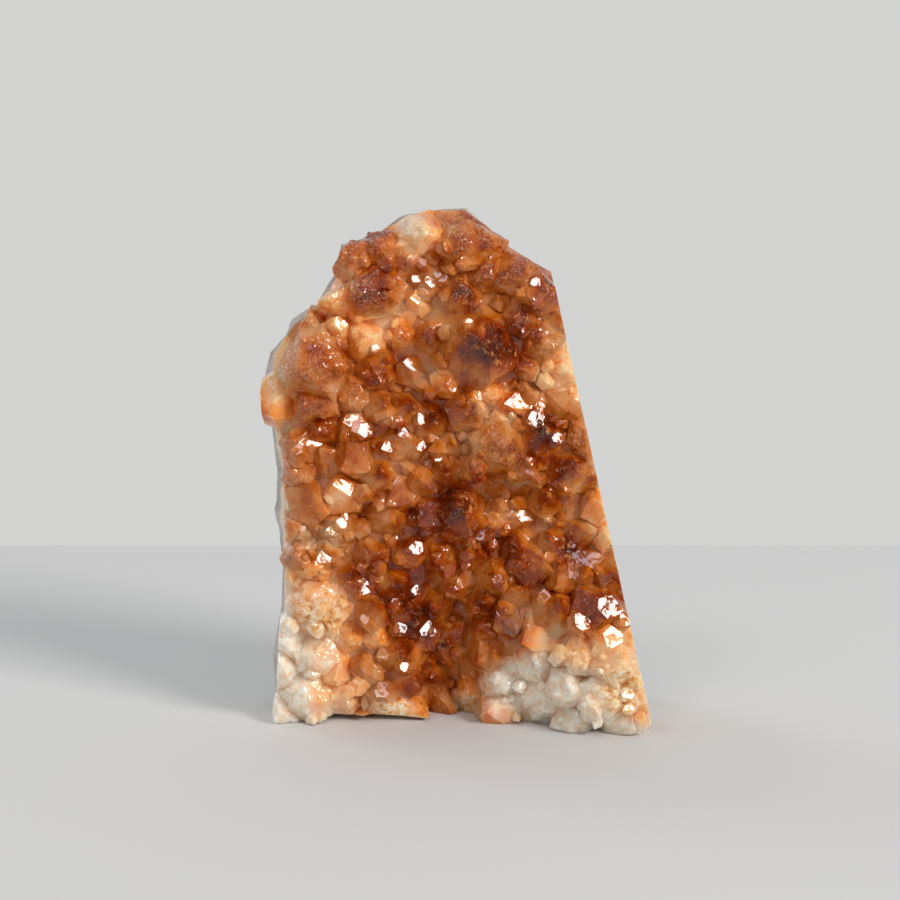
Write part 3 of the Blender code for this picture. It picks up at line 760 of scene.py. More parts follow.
def split_long_edges(mesh, longest, hidden):
    """Splits the mesh's triangles until few edges are longer than that, bar hidden ones."""
    bm = bmesh.new()
    bm.from_mesh(mesh)
    bmesh.ops.triangulate(bm, faces=bm.faces)
    for _ in range(SPLIT_PASSES):
        long_edges = [edge for edge in bm.edges
                      if edge.calc_length() > longest and not hidden(edge)]
        bmesh.ops.subdivide_edges(bm, edges=long_edges, cuts=1)
        bmesh.ops.triangulate(bm, faces=[face for face in bm.faces if len(face.verts) > 3])
    bm.to_mesh(mesh)
    bm.free()


def at_seam(edge):
    """Whether an edge lies in the joint between crust and rind, where nothing is seen."""
    x, y, z = (edge.verts[0].co + edge.verts[1].co) / 2 / MM
    return abs(y - seam(x, z)) < SEAM_NEAR and edge_room(x, z) > SEAM_HIDDEN


def mesh_places(mesh):
    """The places of all vertices, one row each."""
    places = np.empty(len(mesh.vertices) * 3, np.float32)
    mesh.vertices.foreach_get("co", places)
    return places.reshape(-1, 3)


def mesh_normals(mesh):
    """The normals of all vertices, one row each."""
    normals = np.empty(len(mesh.vertices) * 3, np.float32)
    mesh.vertex_normals.foreach_get("vector", normals)
    return normals.reshape(-1, 3)


def lumps_at(places, lumps):
    """Height of summed smooth noise at each place, in millimetres."""
    heights = np.zeros(len(places), np.float32)
    for size, height in lumps:
        heights += [noise.noise(Vector(place) / size) * height for place in places / MM]
    return heights


def zones_at(places, zones):
    """How strongly each place lies in the zones."""
    x, z = places[:, 0] / MM, places[:, 2] / MM
    strengths = np.zeros(len(places))
    for middle_x, middle_z, reach_x, reach_z, strength in zones:
        strengths += strength * np.exp(
            -(((x - middle_x) / reach_x) ** 2 + ((z - middle_z) / reach_z) ** 2))
    return strengths


def share_at(places, zones):
    """How far the quartz at each place has the colour of the zones, from 0 to 1."""
    spread = 1 + lumps_at(places, COLOUR_LUMPS)
    return np.clip((zones_at(places, zones) * spread - ZONE_FROM) * ZONE_GAIN, 0, 1)


def haze_at(places):
    """How hazy the quartz is at each place, from 0 to 1: white, honey-coloured or peach."""
    peach = np.clip(-PEACH_GAIN * zones_at(places, DEPTH_ZONES), 0, 1)
    return np.maximum.reduce(
        [share_at(places, MILK_ZONES), share_at(places, HONEY_ZONES), peach])


def sawn_faces(mesh):
    """Which faces lie on the base or the sawn side, and which vertices they hold."""
    across = Vector((1, 0, SAWN_SIDE_SLOPE)).normalized()
    on_saw = []
    for face in mesh.polygons:
        x, _, z = face.center / MM
        low = z < BASE_NEAR and face.normal.z < -SAWN_FACING
        beside = abs(x - sawn_side(z)) < SIDE_NEAR and face.normal.dot(across) > SAWN_FACING
        on_saw.append(low or beside)
    held = np.zeros(len(mesh.vertices), bool)
    for face, sawn in zip(mesh.polygons, on_saw):
        if sawn:
            held[list(face.vertices)] = True
    return on_saw, held


def roughen(mesh, heights, held):
    """Moves the free vertices out along their normals by those heights."""
    places = mesh_places(mesh)
    moved = places + mesh_normals(mesh) * (np.where(held, 0, heights) * MM)[:, None]
    mesh.vertices.foreach_set("co", moved.astype(np.float32).ravel())
    mesh.update()


def soften(mesh, where):
    """Rounds the shading of edges whose two ends are both chosen."""
    ends = np.empty(len(mesh.edges) * 2, np.int32)
    mesh.edges.foreach_get("vertices", ends)
    sharp = np.empty(len(mesh.edges), bool)
    mesh.attributes["sharp_edge"].data.foreach_get("value", sharp)
    chosen = where[ends].reshape(-1, 2).all(axis=1)
    mesh.attributes["sharp_edge"].data.foreach_set("value", sharp & ~chosen)


def drop_crumbs(mesh):
    """Deletes what the cuts and unions left loose: every shell but the largest."""
    bm = bmesh.new()
    bm.from_mesh(mesh)
    left, shells = set(bm.verts), []
    while left:
        shell = [left.pop()]
        for corner in shell:  # it grows while it is read
            for edge in corner.link_edges:
                other = edge.other_vert(corner)
                if other in left:
                    left.remove(other)
                    shell.append(other)
        shells.append(shell)
    shells.sort(key=len)
    for crumb in shells[:-1]:
        bmesh.ops.delete(bm, geom=crumb, context="VERTS")
    bm.to_mesh(mesh)
    bm.free()


def weld(mesh):
    """Joins the corners that a file format split along sharp edges."""
    bm = bmesh.new()
    bm.from_mesh(mesh)
    bmesh.ops.remove_doubles(bm, verts=bm.verts, dist=WELD_NEAR * MM)
    bm.to_mesh(mesh)
    bm.free()


def crust_object(settings, quartz):
    """The crust: bed, large points and small points as one closed mesh."""
    rng = random.Random(FILL_SEED)
    crust = bpy.data.objects.new("citrine_druse", crust_bed_mesh())
    for material in quartz:
        crust.data.materials.append(material)
    bpy.context.scene.collection.objects.link(crust)
    write_numbers(crust.data, dict.fromkeys(GROWTH, np.zeros(len(crust.data.vertices))))
    tools = tool_collection("large_points")
    named = named_points()
    tint_rng = random.Random(SMALL_SEED)
    for i, point in enumerate(named + filling_points(named, rng)):
        corners, foot, axis, tip = large_point(point, rng)
        grown_tool(f"large_{i:03d}", corners, foot, axis, tip, tint_rng.uniform(-1, 1),
                   point.worn, tools, quartz)
    join_all(crust, tools)
    tools = tool_collection("small_points")
    small_points(crust, settings.small_count,
                 (settings.small_least / MM, settings.small_most / MM), tools, quartz,
                 random.Random(SMALL_SEED))
    flashing_points(crust, tools, quartz, random.Random(SMALL_SEED))
    join_all(crust, tools)
    saws = tool_collection("saws")
    for tool in saw_blocks(saws) + [chip_tool(saws)]:
        boolean(crust, "DIFFERENCE", tool)
    settle(crust)
    delete_collection(saws)
    drop_crumbs(crust.data)
    return crust


def quartz_kinds(mesh, on_saw, tip, haze):
    """Which of its materials each face of the crust has. A point keeps the quartz that it was
    grown in, and the bed between the points is milky where it is hazy.
    """
    kinds = []
    for face, sawn in zip(mesh.polygons, on_saw):
        x, y, z = face.center / MM
        corners = list(face.vertices)
        if sawn:
            kinds.append(SAWN)
        elif abs(y - seam(x, z)) < SEAM_NEAR and face.normal.y > SEAM_FACING:
            kinds.append(QUARTZ_ROOT)
        elif tip[corners].max() > 0:
            kinds.append(min(face.material_index, MILKY))
        else:
            kinds.append(MILKY if haze[corners].mean() > MILKY_FROM else CLEAR)
    return kinds


def corners_of(mesh, kinds, kind):
    """Which vertices belong to a face of that kind."""
    chosen = np.zeros(len(mesh.vertices), bool)
    for face, face_kind in zip(mesh.polygons, kinds):
        if face_kind == kind:
            chosen[list(face.vertices)] = True
    return chosen


# ---------------------------------------------------------------------------------------------
# Materials
# ---------------------------------------------------------------------------------------------
def linear(text):
    """An sRGB hex colour as linear red, green, blue and 1."""
    shares = [int(text[i:i + 2], 16) / 255 for i in (1, 3, 5)]
    return (*(s / 12.92 if s <= 0.04045 else ((s + 0.055) / 1.055) ** 2.4 for s in shares), 1.0)


def add(tree, kind, settings=(), links=(), stops=()):
    """Adds a node, with its settings by name, its links as (input, source socket) and a colour
    ramp's stops as (place, colour). A setting or a link is an input's where one has its name.
    """
    made = tree.nodes.new("ShaderNode" + kind)
    for name, value in dict(settings).items():
        if isinstance(name, int) or name in made.inputs:
            made.inputs[name].default_value = value
        else:
            setattr(made, name, value)
    for name, source in dict(links).items():
        tree.links.new(source, made.inputs[name])
    for i, (place, colour) in enumerate(stops):
        elements = made.color_ramp.elements
        element = elements[i] if i < 2 else elements.new(place)
        element.position, element.color = place, colour
    return made


def new_material(name):
    """A material with no nodes, and its tree."""
    material = bpy.data.materials.new(name)
    material.use_nodes = True
    tree = material.node_tree
    tree.nodes.clear()
    return material, tree


def citrine_material(name, look, clearness, glow, wander, density):
    """Heated quartz, natural growth faces: clear to milky and glassy, with clouds of iron colour.

    The eye gets brown-red and orange clouds with peach haze between them, flat faces that flash,
    and sugar-like sparkle on the worn points.
    """
    material, tree = new_material(name)
    place = add(tree, "TexCoord").outputs["Object"]
    tip, tint, worn, milk, honey, depth = (
        add(tree, "Attribute", {"attribute_name": name}).outputs["Fac"]
        for name in ("tip", "tint", "worn", "milk", "honey", "depth"))

    # How deep the colour is: by zone, then by height on the point, then in clouds 8 mm and
    # 1.7 mm across.
    cloud = add(tree, "TexNoise", {"Scale": 130.0, "Detail": 2.0, "Roughness": 0.55},
                {"Vector": place}).outputs["Fac"]
    speck = add(tree, "TexNoise", {"Scale": 600.0, "Detail": 4.0, "Roughness": 0.75,
                                   "Distortion": 0.8}, {"Vector": place}).outputs["Fac"]
    for source, factor, middle in ((tip, 0.25, 0.4), (tint, 0.07, 0.0), (cloud, 1.3, 0.5),
                                   (speck, 0.6, 0.5)):
        part = add(tree, "Math", {"operation": "MULTIPLY_ADD", 1: factor, 2: -factor * middle},
                   {0: source}).outputs[0]
        depth = add(tree, "Math", {"operation": "ADD"}, {0: depth, 1: part}).outputs[0]
    colour = add(tree, "ValToRGB", {}, {"Fac": depth}, [
        (0.0, look.root), (0.22, look.flank_pale), (0.42, look.flank), (0.62, look.flank_deep),
        (0.82, look.tip), (1.0, look.smoke)]).outputs["Color"]
    # Flecks 2 mm across: where strongest they are painted golden glints, a painted highlight that
    # stands in for light caught on cracks and far faces inside the stone, and where weaker they
    # are etched patches of the growth faces.
    fleck = add(tree, "TexNoise", {"Scale": 540.0, "Detail": 2.0, "Roughness": 0.7},
                {"Vector": place}).outputs["Fac"]
    painted_glint = add(tree, "MapRange", {"From Min": 0.6, "From Max": 0.68, "To Max": 0.8},
                {"Value": fleck}).outputs[0]
    colour = add(tree, "Mix", {"data_type": "RGBA", 7: look.painted_glint}, {0: painted_glint, 6: colour}
                 ).outputs[2]
    etch = add(tree, "MapRange", {"From Min": 0.5, "From Max": 0.53, "To Max": 0.6},
               {"Value": fleck}).outputs[0]
    sugar = add(tree, "Math", {"operation": "MAXIMUM"}, {0: etch, 1: worn}).outputs[0]

    # Honey quartz, full of fine cracks that show white.
    cracked = add(tree, "ValToRGB", {}, {"Fac": speck}, [
        (0.38, look.honey_deep), (0.5, look.honey), (0.62, look.snow)]).outputs["Color"]
    colour = add(tree, "Mix", {"data_type": "RGBA"}, {0: honey, 6: colour, 7: cracked}
                 ).outputs[2]
    # Frost: grains of sugar quartz 0.5 mm across that whiten worn points and etched patches.
    grains = add(tree, "TexNoise", {"Scale": 2200.0, "Detail": 1.0}, {"Vector": place})
    frost = add(tree, "MapRange", {"From Min": 0.5, "From Max": 0.68, "To Max": 0.45},
                {"Value": grains.outputs["Fac"]}).outputs[0]
    frost = add(tree, "Math", {"operation": "MULTIPLY"}, {0: frost, 1: sugar}).outputs[0]
    colour = add(tree, "Mix", {"data_type": "RGBA", 7: look.frost}, {0: frost, 6: colour}
                 ).outputs[2]
    # Milky quartz, in clouds from cream to white.
    clouded = add(tree, "ValToRGB", {}, {"Fac": speck}, [
        (0.34, look.cream), (0.48, look.milk), (0.6, look.snow)]).outputs["Color"]
    colour = add(tree, "Mix", {"data_type": "RGBA"}, {0: milk, 6: colour, 7: clouded}
                 ).outputs[2]

    # Sugar of flat facets 0.7 mm and 0.35 mm across, each tilted its own way.
    normal = add(tree, "NewGeometry").outputs["Normal"]
    for scale, slope in ((1400.0, 0.8), (2900.0, 0.5)):
        facets = add(tree, "TexVoronoi", {"Scale": scale}, {"Vector": place})
        tilt = add(tree, "VectorMath", {"operation": "SUBTRACT", 1: (0.5, 0.5, 0.5)},
                   {0: facets.outputs["Color"]}).outputs[0]
        share = add(tree, "Math", {"operation": "MULTIPLY", 1: slope}, {0: sugar}).outputs[0]
        tilt = add(tree, "VectorMath", {"operation": "SCALE"}, {0: tilt, 3: share}).outputs[0]
        normal = add(tree, "VectorMath", {"operation": "ADD"}, {0: normal, 1: tilt}).outputs[0]
    normal = add(tree, "VectorMath", {"operation": "NORMALIZE"}, {0: normal}).outputs[0]
    ripple = add(tree, "TexNoise", {"Scale": 900.0, "Detail": 0.0}, {"Vector": place})
    bump = add(tree, "Bump", {"Distance": 0.001, "Strength": 0.03},
               {"Height": ripple.outputs["Fac"], "Normal": normal})
    rough = add(tree, "MapRange", {"To Min": look.gloss, "To Max": look.sugar_gloss},
                {"Value": sugar})

    shader = add(tree, "BsdfPrincipled", {
        "IOR": 1.544, "Transmission Weight": clearness,
        "Subsurface Weight": 1.0, "Subsurface Scale": glow, "Subsurface Radius": wander,
    }, {"Base Color": colour, "Roughness": rough.outputs[0], "Normal": bump.outputs["Normal"]})
    body = add(tree, "VolumeAbsorption", {"Color": look.body, "Density": density})
    add(tree, "OutputMaterial", {}, {"Surface": shader.outputs["BSDF"],
                                     "Volume": body.outputs["Volume"]})
    return material


def sawn_quartz_material(look):
    """The crust's section, sawn and lapped: satin, grey and milky at the rind, then peach and
    orange towards the points, in columns that grew side by side.
    """
    material, tree = new_material("sawn_quartz")
    place = add(tree, "TexCoord").outputs["Object"]
    # Columns 3 mm wide that run out from the rind, in bands parallel to it.
    drawn_out = add(tree, "VectorMath", {"operation": "MULTIPLY", 1: (1.0, 0.22, 1.0)},
                    {0: place}).outputs[0]
    columns = add(tree, "TexNoise", {"Scale": 330.0, "Detail": 6.0, "Roughness": 0.65,
                                     "Distortion": 0.6}, {"Vector": drawn_out}).outputs["Fac"]
    cloud = add(tree, "TexNoise", {"Scale": 120.0, "Detail": 5.0}, {"Vector": place}
                ).outputs["Fac"]
    depth = add(tree, "SeparateXYZ", {}, {0: place}).outputs["Y"]
    depth = add(tree, "MapRange", {"From Min": 0.012, "From Max": -0.016}, {"Value": depth}
                ).outputs[0]
    for source, factor in ((columns, 1.0), (cloud, 0.8)):
        part = add(tree, "Math", {"operation": "MULTIPLY_ADD", 1: factor, 2: -factor / 2},
                   {0: source}).outputs[0]
        depth = add(tree, "Math", {"operation": "ADD"}, {0: depth, 1: part}).outputs[0]
    colour = add(tree, "ValToRGB", {}, {"Fac": depth}, [
        (0.0, look.sawn_grey), (0.08, look.sawn_milk), (0.12, look.sawn_grey),
        (0.25, look.sawn_milk), (0.33, look.sawn_grey), (0.5, look.sawn_peach),
        (0.75, look.flank), (1.0, look.tip)]).outputs["Color"]
    # Faint waves that the saw left, about 6 mm apart.
    marks = add(tree, "TexWave", {"Scale": 60.0, "Distortion": 3.0, "Detail": 3.0,
                                  "bands_direction": "DIAGONAL"}, {"Vector": place})
    bump = add(tree, "Bump", {"Distance": 0.001, "Strength": 0.1},
               {"Height": marks.outputs["Fac"]})
    rough = add(tree, "MapRange", {"To Min": 0.25, "To Max": 0.45}, {"Value": columns})
    shader = add(tree, "BsdfPrincipled", {
        "IOR": 1.544, "Subsurface Weight": 1.0, "Subsurface Scale": 0.001,
        "Subsurface Radius": SAWN_WANDER,
    }, {"Base Color": colour, "Roughness": rough.outputs[0], "Normal": bump.outputs["Normal"]})
    add(tree, "OutputMaterial", {}, {"Surface": shader.outputs["BSDF"]})
    return material


def quartz_root_material(look):
    """The first quartz that grew on the rind: milky and matt, and light from it glows through
    the clear crust.
    """
    material, tree = new_material("quartz_root")
    place = add(tree, "TexCoord").outputs["Object"]
    cloud = add(tree, "TexNoise", {"Scale": 250.0, "Detail": 4.0}, {"Vector": place})
    colour = add(tree, "Mix", {"data_type": "RGBA", 6: look.milk, 7: look.root},
                 {0: cloud.outputs["Fac"]}).outputs[2]
    shader = add(tree, "BsdfPrincipled", {"Roughness": 0.6, "IOR": 1.544}, {"Base Color": colour})
    add(tree, "OutputMaterial", {}, {"Surface": shader.outputs["BSDF"]})
    return material


def rind_material(name, look, sawn):
    """A geode's skin of weathered basalt and chalcedony: matt, grey-white and lilac with rusty
    stains, pits and dark specks, with painted shade in its hollows and a rim lightened by painted
    light beside the quartz. Where sawn it is smoother.
    """
    material, tree = new_material(name)
    place = add(tree, "TexCoord").outputs["Object"]
    patches = add(tree, "TexNoise", {"Scale": 110.0, "Detail": 7.0, "Roughness": 0.68},
                  {"Vector": place}).outputs["Fac"]
    colour = add(tree, "ValToRGB", {}, {"Fac": patches}, [
        (0.34, look.rind_dark), (0.45, look.rind), (0.56, look.rind_pale),
        (0.68, look.rind_lilac)]).outputs["Color"]
    # Rust in stains 12 mm across, and specks 1 mm across here and there.
    stain = add(tree, "TexNoise", {"Scale": 85.0, "Detail": 5.0, "Distortion": 0.8},
                {"Vector": place}).outputs["Fac"]
    stain = add(tree, "MapRange", {"From Min": 0.54, "From Max": 0.7, "To Max": 0.6},
                {"Value": stain}).outputs[0]
    colour = add(tree, "Mix", {"data_type": "RGBA", 7: look.rind_rust}, {0: stain, 6: colour}
                 ).outputs[2]
    specks = add(tree, "TexVoronoi", {"Scale": 900.0}, {"Vector": place}).outputs["Distance"]
    specks = add(tree, "MapRange", {"From Min": 0.14, "From Max": 0.32, "To Min": 0.75,
                                    "To Max": 0.0}, {"Value": specks}).outputs[0]
    where = add(tree, "TexNoise", {"Scale": 420.0}, {"Vector": place}).outputs["Fac"]
    where = add(tree, "MapRange", {"From Min": 0.5, "From Max": 0.6}, {"Value": where}).outputs[0]
    share = add(tree, "Math", {"operation": "MULTIPLY"}, {0: specks, 1: where}).outputs[0]
    colour = add(tree, "Mix", {"data_type": "RGBA", 7: look.rind_speck}, {0: share, 6: colour}
                 ).outputs[2]
    # Painted shade: the rind is darker in its hollows, the deeper the darker, where shade would
    # fall.
    hollow = add(tree, "Attribute", {"attribute_name": "relief"}).outputs["Fac"]
    hollow = add(tree, "MapRange", {"From Min": 0.2, "From Max": -2.2, "To Max": 0.8},
                 {"Value": hollow}).outputs[0]
    colour = add(tree, "Mix", {"data_type": "RGBA", 7: look.rind_hollow_shade},
                 {0: hollow, 6: colour}).outputs[2]
    # Beside the quartz the skin is pale chalcedony, lightened further by painted light, since the
    # rim seen beside the crust lies in shade.
    beside = add(tree, "SeparateXYZ", {}, {0: place}).outputs["Y"]
    beside = add(tree, "MapRange", {"From Min": 0.009, "From Max": 0.002, "To Max": 0.8},
                 {"Value": beside}).outputs[0]
    colour = add(tree, "Mix", {"data_type": "RGBA", 7: look.rind_rim_and_painted_light}, {0: beside, 6: colour}
                 ).outputs[2]
    grit = add(tree, "TexNoise", {"Scale": 900.0, "Detail": 8.0, "Roughness": 0.75},
               {"Vector": place}).outputs["Fac"]
    bump = add(tree, "Bump", {"Distance": 0.001, "Strength": 0.1 if sawn else 1.0},
               {"Height": grit})
    rough = add(tree, "MapRange", {"To Min": 0.4 if sawn else 0.7, "To Max": 0.95},
                {"Value": patches}).outputs[0]
    shader = add(tree, "BsdfPrincipled", {"IOR": 1.5},
                 {"Base Color": colour, "Roughness": rough, "Normal": bump.outputs["Normal"]})
    add(tree, "OutputMaterial", {}, {"Surface": shader.outputs["BSDF"]})
    return material


def paper_material(name, colour):
    """Smooth matt card, very faintly mottled in patches 110 mm across."""
    material, tree = new_material(name)
    place = add(tree, "TexCoord").outputs["Object"]
    mottle = add(tree, "TexNoise", {"Scale": 9.0, "Detail": 3.0}, {"Vector": place})
    shade = add(tree, "Mix", {"data_type": "RGBA", 6: [part * 0.985 for part in colour],
                              7: colour}, {0: mottle.outputs["Fac"]}).outputs[2]
    shader = add(tree, "BsdfPrincipled", {"Roughness": 0.95, "Specular IOR Level": 0.2},
                 {"Base Color": shade})
    add(tree, "OutputMaterial", {}, {"Surface": shader.outputs["BSDF"]})
    return material


# ---------------------------------------------------------------------------------------------
# Stage
# ---------------------------------------------------------------------------------------------
def add_area_light(name, place, size, power, colour):
    """A square soft light at that place, turned to the druse."""
    light = bpy.data.lights.new(name, "AREA")
    light.shape = "SQUARE"
    light.size = size
    light.energy = power
    light.color = linear(colour)[:3]
    lamp = bpy.data.objects.new(name, light)
    lamp.location = place * MM
    lamp.rotation_euler = (place - AIM).to_track_quat("Z", "Y").to_euler()
    bpy.context.scene.collection.objects.link(lamp)


def table_mesh(name, back, reach, thickness, edge):
    """A table top whose far edge lies that far behind the druse, with rounded edges."""
    bm = bmesh.new()
    bmesh.ops.create_cube(bm, size=1.0)
    for vert in bm.verts:
        vert.co = (vert.co.x * 2 * reach, back + (vert.co.y - 0.5) * reach,
                   (vert.co.z - 0.5) * thickness)
    bmesh.ops.bevel(bm, geom=bm.edges, offset=edge, segments=4, affect="EDGES", profile=0.5)
    mesh = bpy.data.meshes.new(name)
    bm.to_mesh(mesh)
    bm.free()
    mesh.shade_smooth()
    mesh.set_sharp_from_angle(angle=TABLE_CRISP)
    return mesh


def pale_room(brightness):
    """A pale room all round. It is darker in front of the druse, as a studio is behind its
    camera, and on the right, so that light from the left brings out the relief of the back.
    """
    world = bpy.data.worlds.new("pale_room")
    world.use_nodes = True
    tree = world.node_tree
    way = add(tree, "TexCoord").outputs["Generated"]
    way = add(tree, "SeparateXYZ", {}, {0: way})
    front = add(tree, "MapRange", {
        "From Min": -1.0, "From Max": 0.1, "To Min": 0.58 * brightness, "To Max": brightness,
    }, {"Value": way.outputs["Y"]}).outputs[0]
    right = add(tree, "MapRange", {
        "From Min": 0.2, "From Max": 0.9, "To Min": 1.0, "To Max": 0.3,
    }, {"Value": way.outputs["X"]}).outputs[0]
    strength = add(tree, "Math", {"operation": "MULTIPLY"}, {0: front, 1: right}).outputs[0]
    background = tree.nodes["Background"]
    background.inputs["Color"].default_value = linear("#fdfdfb")
    tree.links.new(strength, background.inputs["Strength"])
    return world


# ---------------------------------------------------------------------------------------------
# Settings
# ---------------------------------------------------------------------------------------------
def colour_property(name, text, description):
    """A colour setting whose default is an sRGB hex value."""
    return bpy.props.FloatVectorProperty(
        name=name, description=description, subtype="COLOR", size=4, min=0.0, max=1.0,
        default=linear(text))


def length_property(name, millimetres, description):
    """A length setting whose default is in millimetres."""
    return bpy.props.FloatProperty(
        name=name, description=description, unit="LENGTH", min=0.0, default=millimetres * MM)


class DruseSizes(bpy.types.PropertyGroup):
    """Sizes of the small growth and of the fine surface."""
    small_count: bpy.props.IntProperty(
        name="Small points", description="How many small points grow on the large ones",
        min=0, default=270)
    small_least: length_property("Smallest", 1.6, "Width of the smallest points")
    small_most: length_property("Largest", 4.6, "Width of the largest of the small points")
    crust_edge: length_property("Crust detail", 1.2, "Longest edge in the crust's mesh")
    rind_edge: length_property("Rind detail", 1.0, "Longest edge in the rind's mesh")
    crisp_angle: bpy.props.FloatProperty(
        name="Crisp angle", description="Edges sharper than this stay crisp",
        subtype="ANGLE", default=math.radians(24))


class DruseLook(bpy.types.PropertyGroup):
    """Colours and clearness of the stone."""
    smoke: colour_property("Smoke", "#6a2000", "Deepest citrine, nearly brown")
    tip: colour_property("Tip", "#8e3000", "Red-brown citrine near the tips")
    flank_deep: colour_property("Deep flank", "#bf5000", "Brown-orange citrine")
    flank: colour_property("Flank", "#e2821c", "Orange citrine of the flanks")
    flank_pale: colour_property("Pale flank", "#f9a65c", "Peach haze")
    root: colour_property("Root", "#ffc896", "Pale quartz between the points")
    # Painted highlight: golden glints painted into the quartz's colour, not made by any lamp.
    painted_glint: colour_property("Gleam", "#f7a43c", "Golden glints inside the stone")
    frost: colour_property("Frost", "#ffdfb8", "Grains of sugar quartz on worn points")
    milk: colour_property("Milk", "#ffe6d0", "Milky quartz at the feet")
    honey: colour_property("Honey", "#f6cf98", "Yellow-brown clear patches")
    honey_deep: colour_property("Deep honey", "#d2903f", "Clearest honey quartz")
    cream: colour_property("Cream", "#f7ccab", "Milky quartz where it is clearest")
    snow: colour_property("Snow", "#fff4e8", "Milky quartz where it is whitest")
    body: colour_property("Body", "#ffa438", "What light turns to on its way through the quartz")
    sawn_grey: colour_property("Sawn grey", "#c9c1bc", "Section beside the rind")
    sawn_milk: colour_property("Sawn milk", "#e0d3c5", "Milky bands of the section")
    sawn_peach: colour_property("Sawn peach", "#e6bd8c", "Hazy citrine in the section")
    rind: colour_property("Rind", "#c4bab0", "Rind in general")
    rind_pale: colour_property("Pale rind", "#ded7ce", "Chalky patches of the rind")
    rind_dark: colour_property("Dark rind", "#8f857a", "Weathered patches of the rind")
    rind_lilac: colour_property("Lilac rind", "#c4b9be", "Chalcedony in the rind")
    rind_rust: colour_property("Rust", "#a67c54", "Rusty stains of the rind")
    rind_speck: colour_property("Specks", "#3d3630", "Dark grains in the rind")
    # Pale chalcedony of the rind's rim, lightened as painted light where the rim lies in shade.
    rind_rim_and_painted_light: colour_property("Rind's rim", "#efe8e4", "Chalcedony beside the quartz")
    # Painted shade, mixed into the rind's colour in its hollows.
    rind_hollow_shade: colour_property("Hollows", "#6f655a", "Soil in the rind's hollows")
    clearness: bpy.props.FloatProperty(
        name="Clearness", description="Share of light that goes through the quartz's surface",
        subtype="FACTOR", min=0.0, max=1.0, default=0.4)
    gloss: bpy.props.FloatProperty(
        name="Face roughness", description="Roughness of clean growth faces",
        subtype="FACTOR", min=0.0, max=1.0, default=0.06)
    sugar_gloss: bpy.props.FloatProperty(
        name="Sugar roughness", description="Roughness of sugar quartz",
        subtype="FACTOR", min=0.0, max=1.0, default=0.1)
    glow: length_property("Glow", 0.6, "How far light wanders in the clear quartz's haze")
    milk_glow: length_property("Milk glow", 3.0, "How far light wanders in the milky quartz")
    milk_clearness: bpy.props.FloatProperty(
        name="Milk clearness", description="Share of light that goes through milky quartz",
        subtype="FACTOR", min=0.0, max=1.0, default=0.05)
    body_density: bpy.props.FloatProperty(
        name="Body density", description="Absorption in each metre of clear quartz",
        min=0.0, default=60.0)
    milk_density: bpy.props.FloatProperty(
        name="Milk density", description="Absorption in each metre of milky quartz",
        min=0.0, default=10.0)


class DruseStage(bpy.types.PropertyGroup):
    """The place where the druse is seen."""
    floor_colour: colour_property("Floor", "#d6d8d9", "Colour of the floor")
    table_behind: length_property("Table behind", 190.0, "From the druse to the table's far edge")
    view_height: length_property("View height", 203.0, "Height that the picture takes in")
    key_power: bpy.props.FloatProperty(
        name="Key light", description="Power of the soft light in front on the right",
        unit="POWER", min=0.0, default=45.0)
    key_size: length_property("Key light size", 800.0, "Width of the key light")
    sky_power: bpy.props.FloatProperty(
        name="Sky light", description="Power of the cool light high on the left", unit="POWER",
        min=0.0, default=6.8)
    sky_size: length_property("Sky light size", 600.0, "Width of the sky light")
    window_power: bpy.props.FloatProperty(
        name="Window light", description="Power of the soft light behind on the left",
        unit="POWER", min=0.0, default=6.5)
    window_size: length_property("Window light size", 900.0, "Width of the window light")
    world: bpy.props.FloatProperty(
        name="Room light", description="Brightness of the pale room", min=0.0, default=0.66)


# ---------------------------------------------------------------------------------------------
# Operators
# ---------------------------------------------------------------------------------------------
class DRUSE_OT_grow_crust(bpy.types.Operator):
    """Grow the crust of quartz points"""
    bl_idname = "druse.grow_crust"
    bl_label = "Grow the crust"

    def execute(self, context):
        sizes, look = context.scene.druse_sizes, context.scene.druse_look
        quartz = [
            citrine_material("heated_citrine_quartz", look, look.clearness, look.glow,
                             CLEAR_WANDER, look.body_density),
            citrine_material("milky_quartz", look, look.milk_clearness, look.milk_glow,
                             MILKY_WANDER, look.milk_density)]
        crust = crust_object(sizes, quartz)
        mesh = crust.data
        split_long_edges(mesh, sizes.crust_edge, at_seam)
        on_saw, held = sawn_faces(mesh)
        places = mesh_places(mesh)
        tip, _, worn = read_growth(mesh)
        worn = np.clip(worn, 0, 1)
        milk = share_at(places, MILK_ZONES)
        roughen(mesh, worn * lumps_at(places, WORN_LUMPS)
                + (1 - worn) * lumps_at(places, CLEAN_LUMPS)
                + milk * lumps_at(places, MILK_LUMPS), held)
        kinds = quartz_kinds(mesh, on_saw, tip, haze_at(places))
        write_numbers(mesh, {
            "milk": np.where(corners_of(mesh, kinds, MILKY), milk, milk * CLEAR_MILK),
            "honey": share_at(places, HONEY_ZONES),
            "depth": (USUAL_DEPTH + DEPTH_LUMPS * lumps_at(places, COLOUR_LUMPS)
                      + DEPTH_GAIN * zones_at(places, DEPTH_ZONES))})
        mesh.shade_smooth()
        mesh.set_sharp_from_angle(angle=sizes.crisp_angle)
        soften(mesh, worn > SOFT_FROM)
        mesh.materials.clear()
        for material in quartz + [sawn_quartz_material(look), quartz_root_material(look)]:
            mesh.materials.append(material)
        mesh.polygons.foreach_set("material_index", kinds)
        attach(crust, "root")
        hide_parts("citrine_crust")
        return {"FINISHED"}


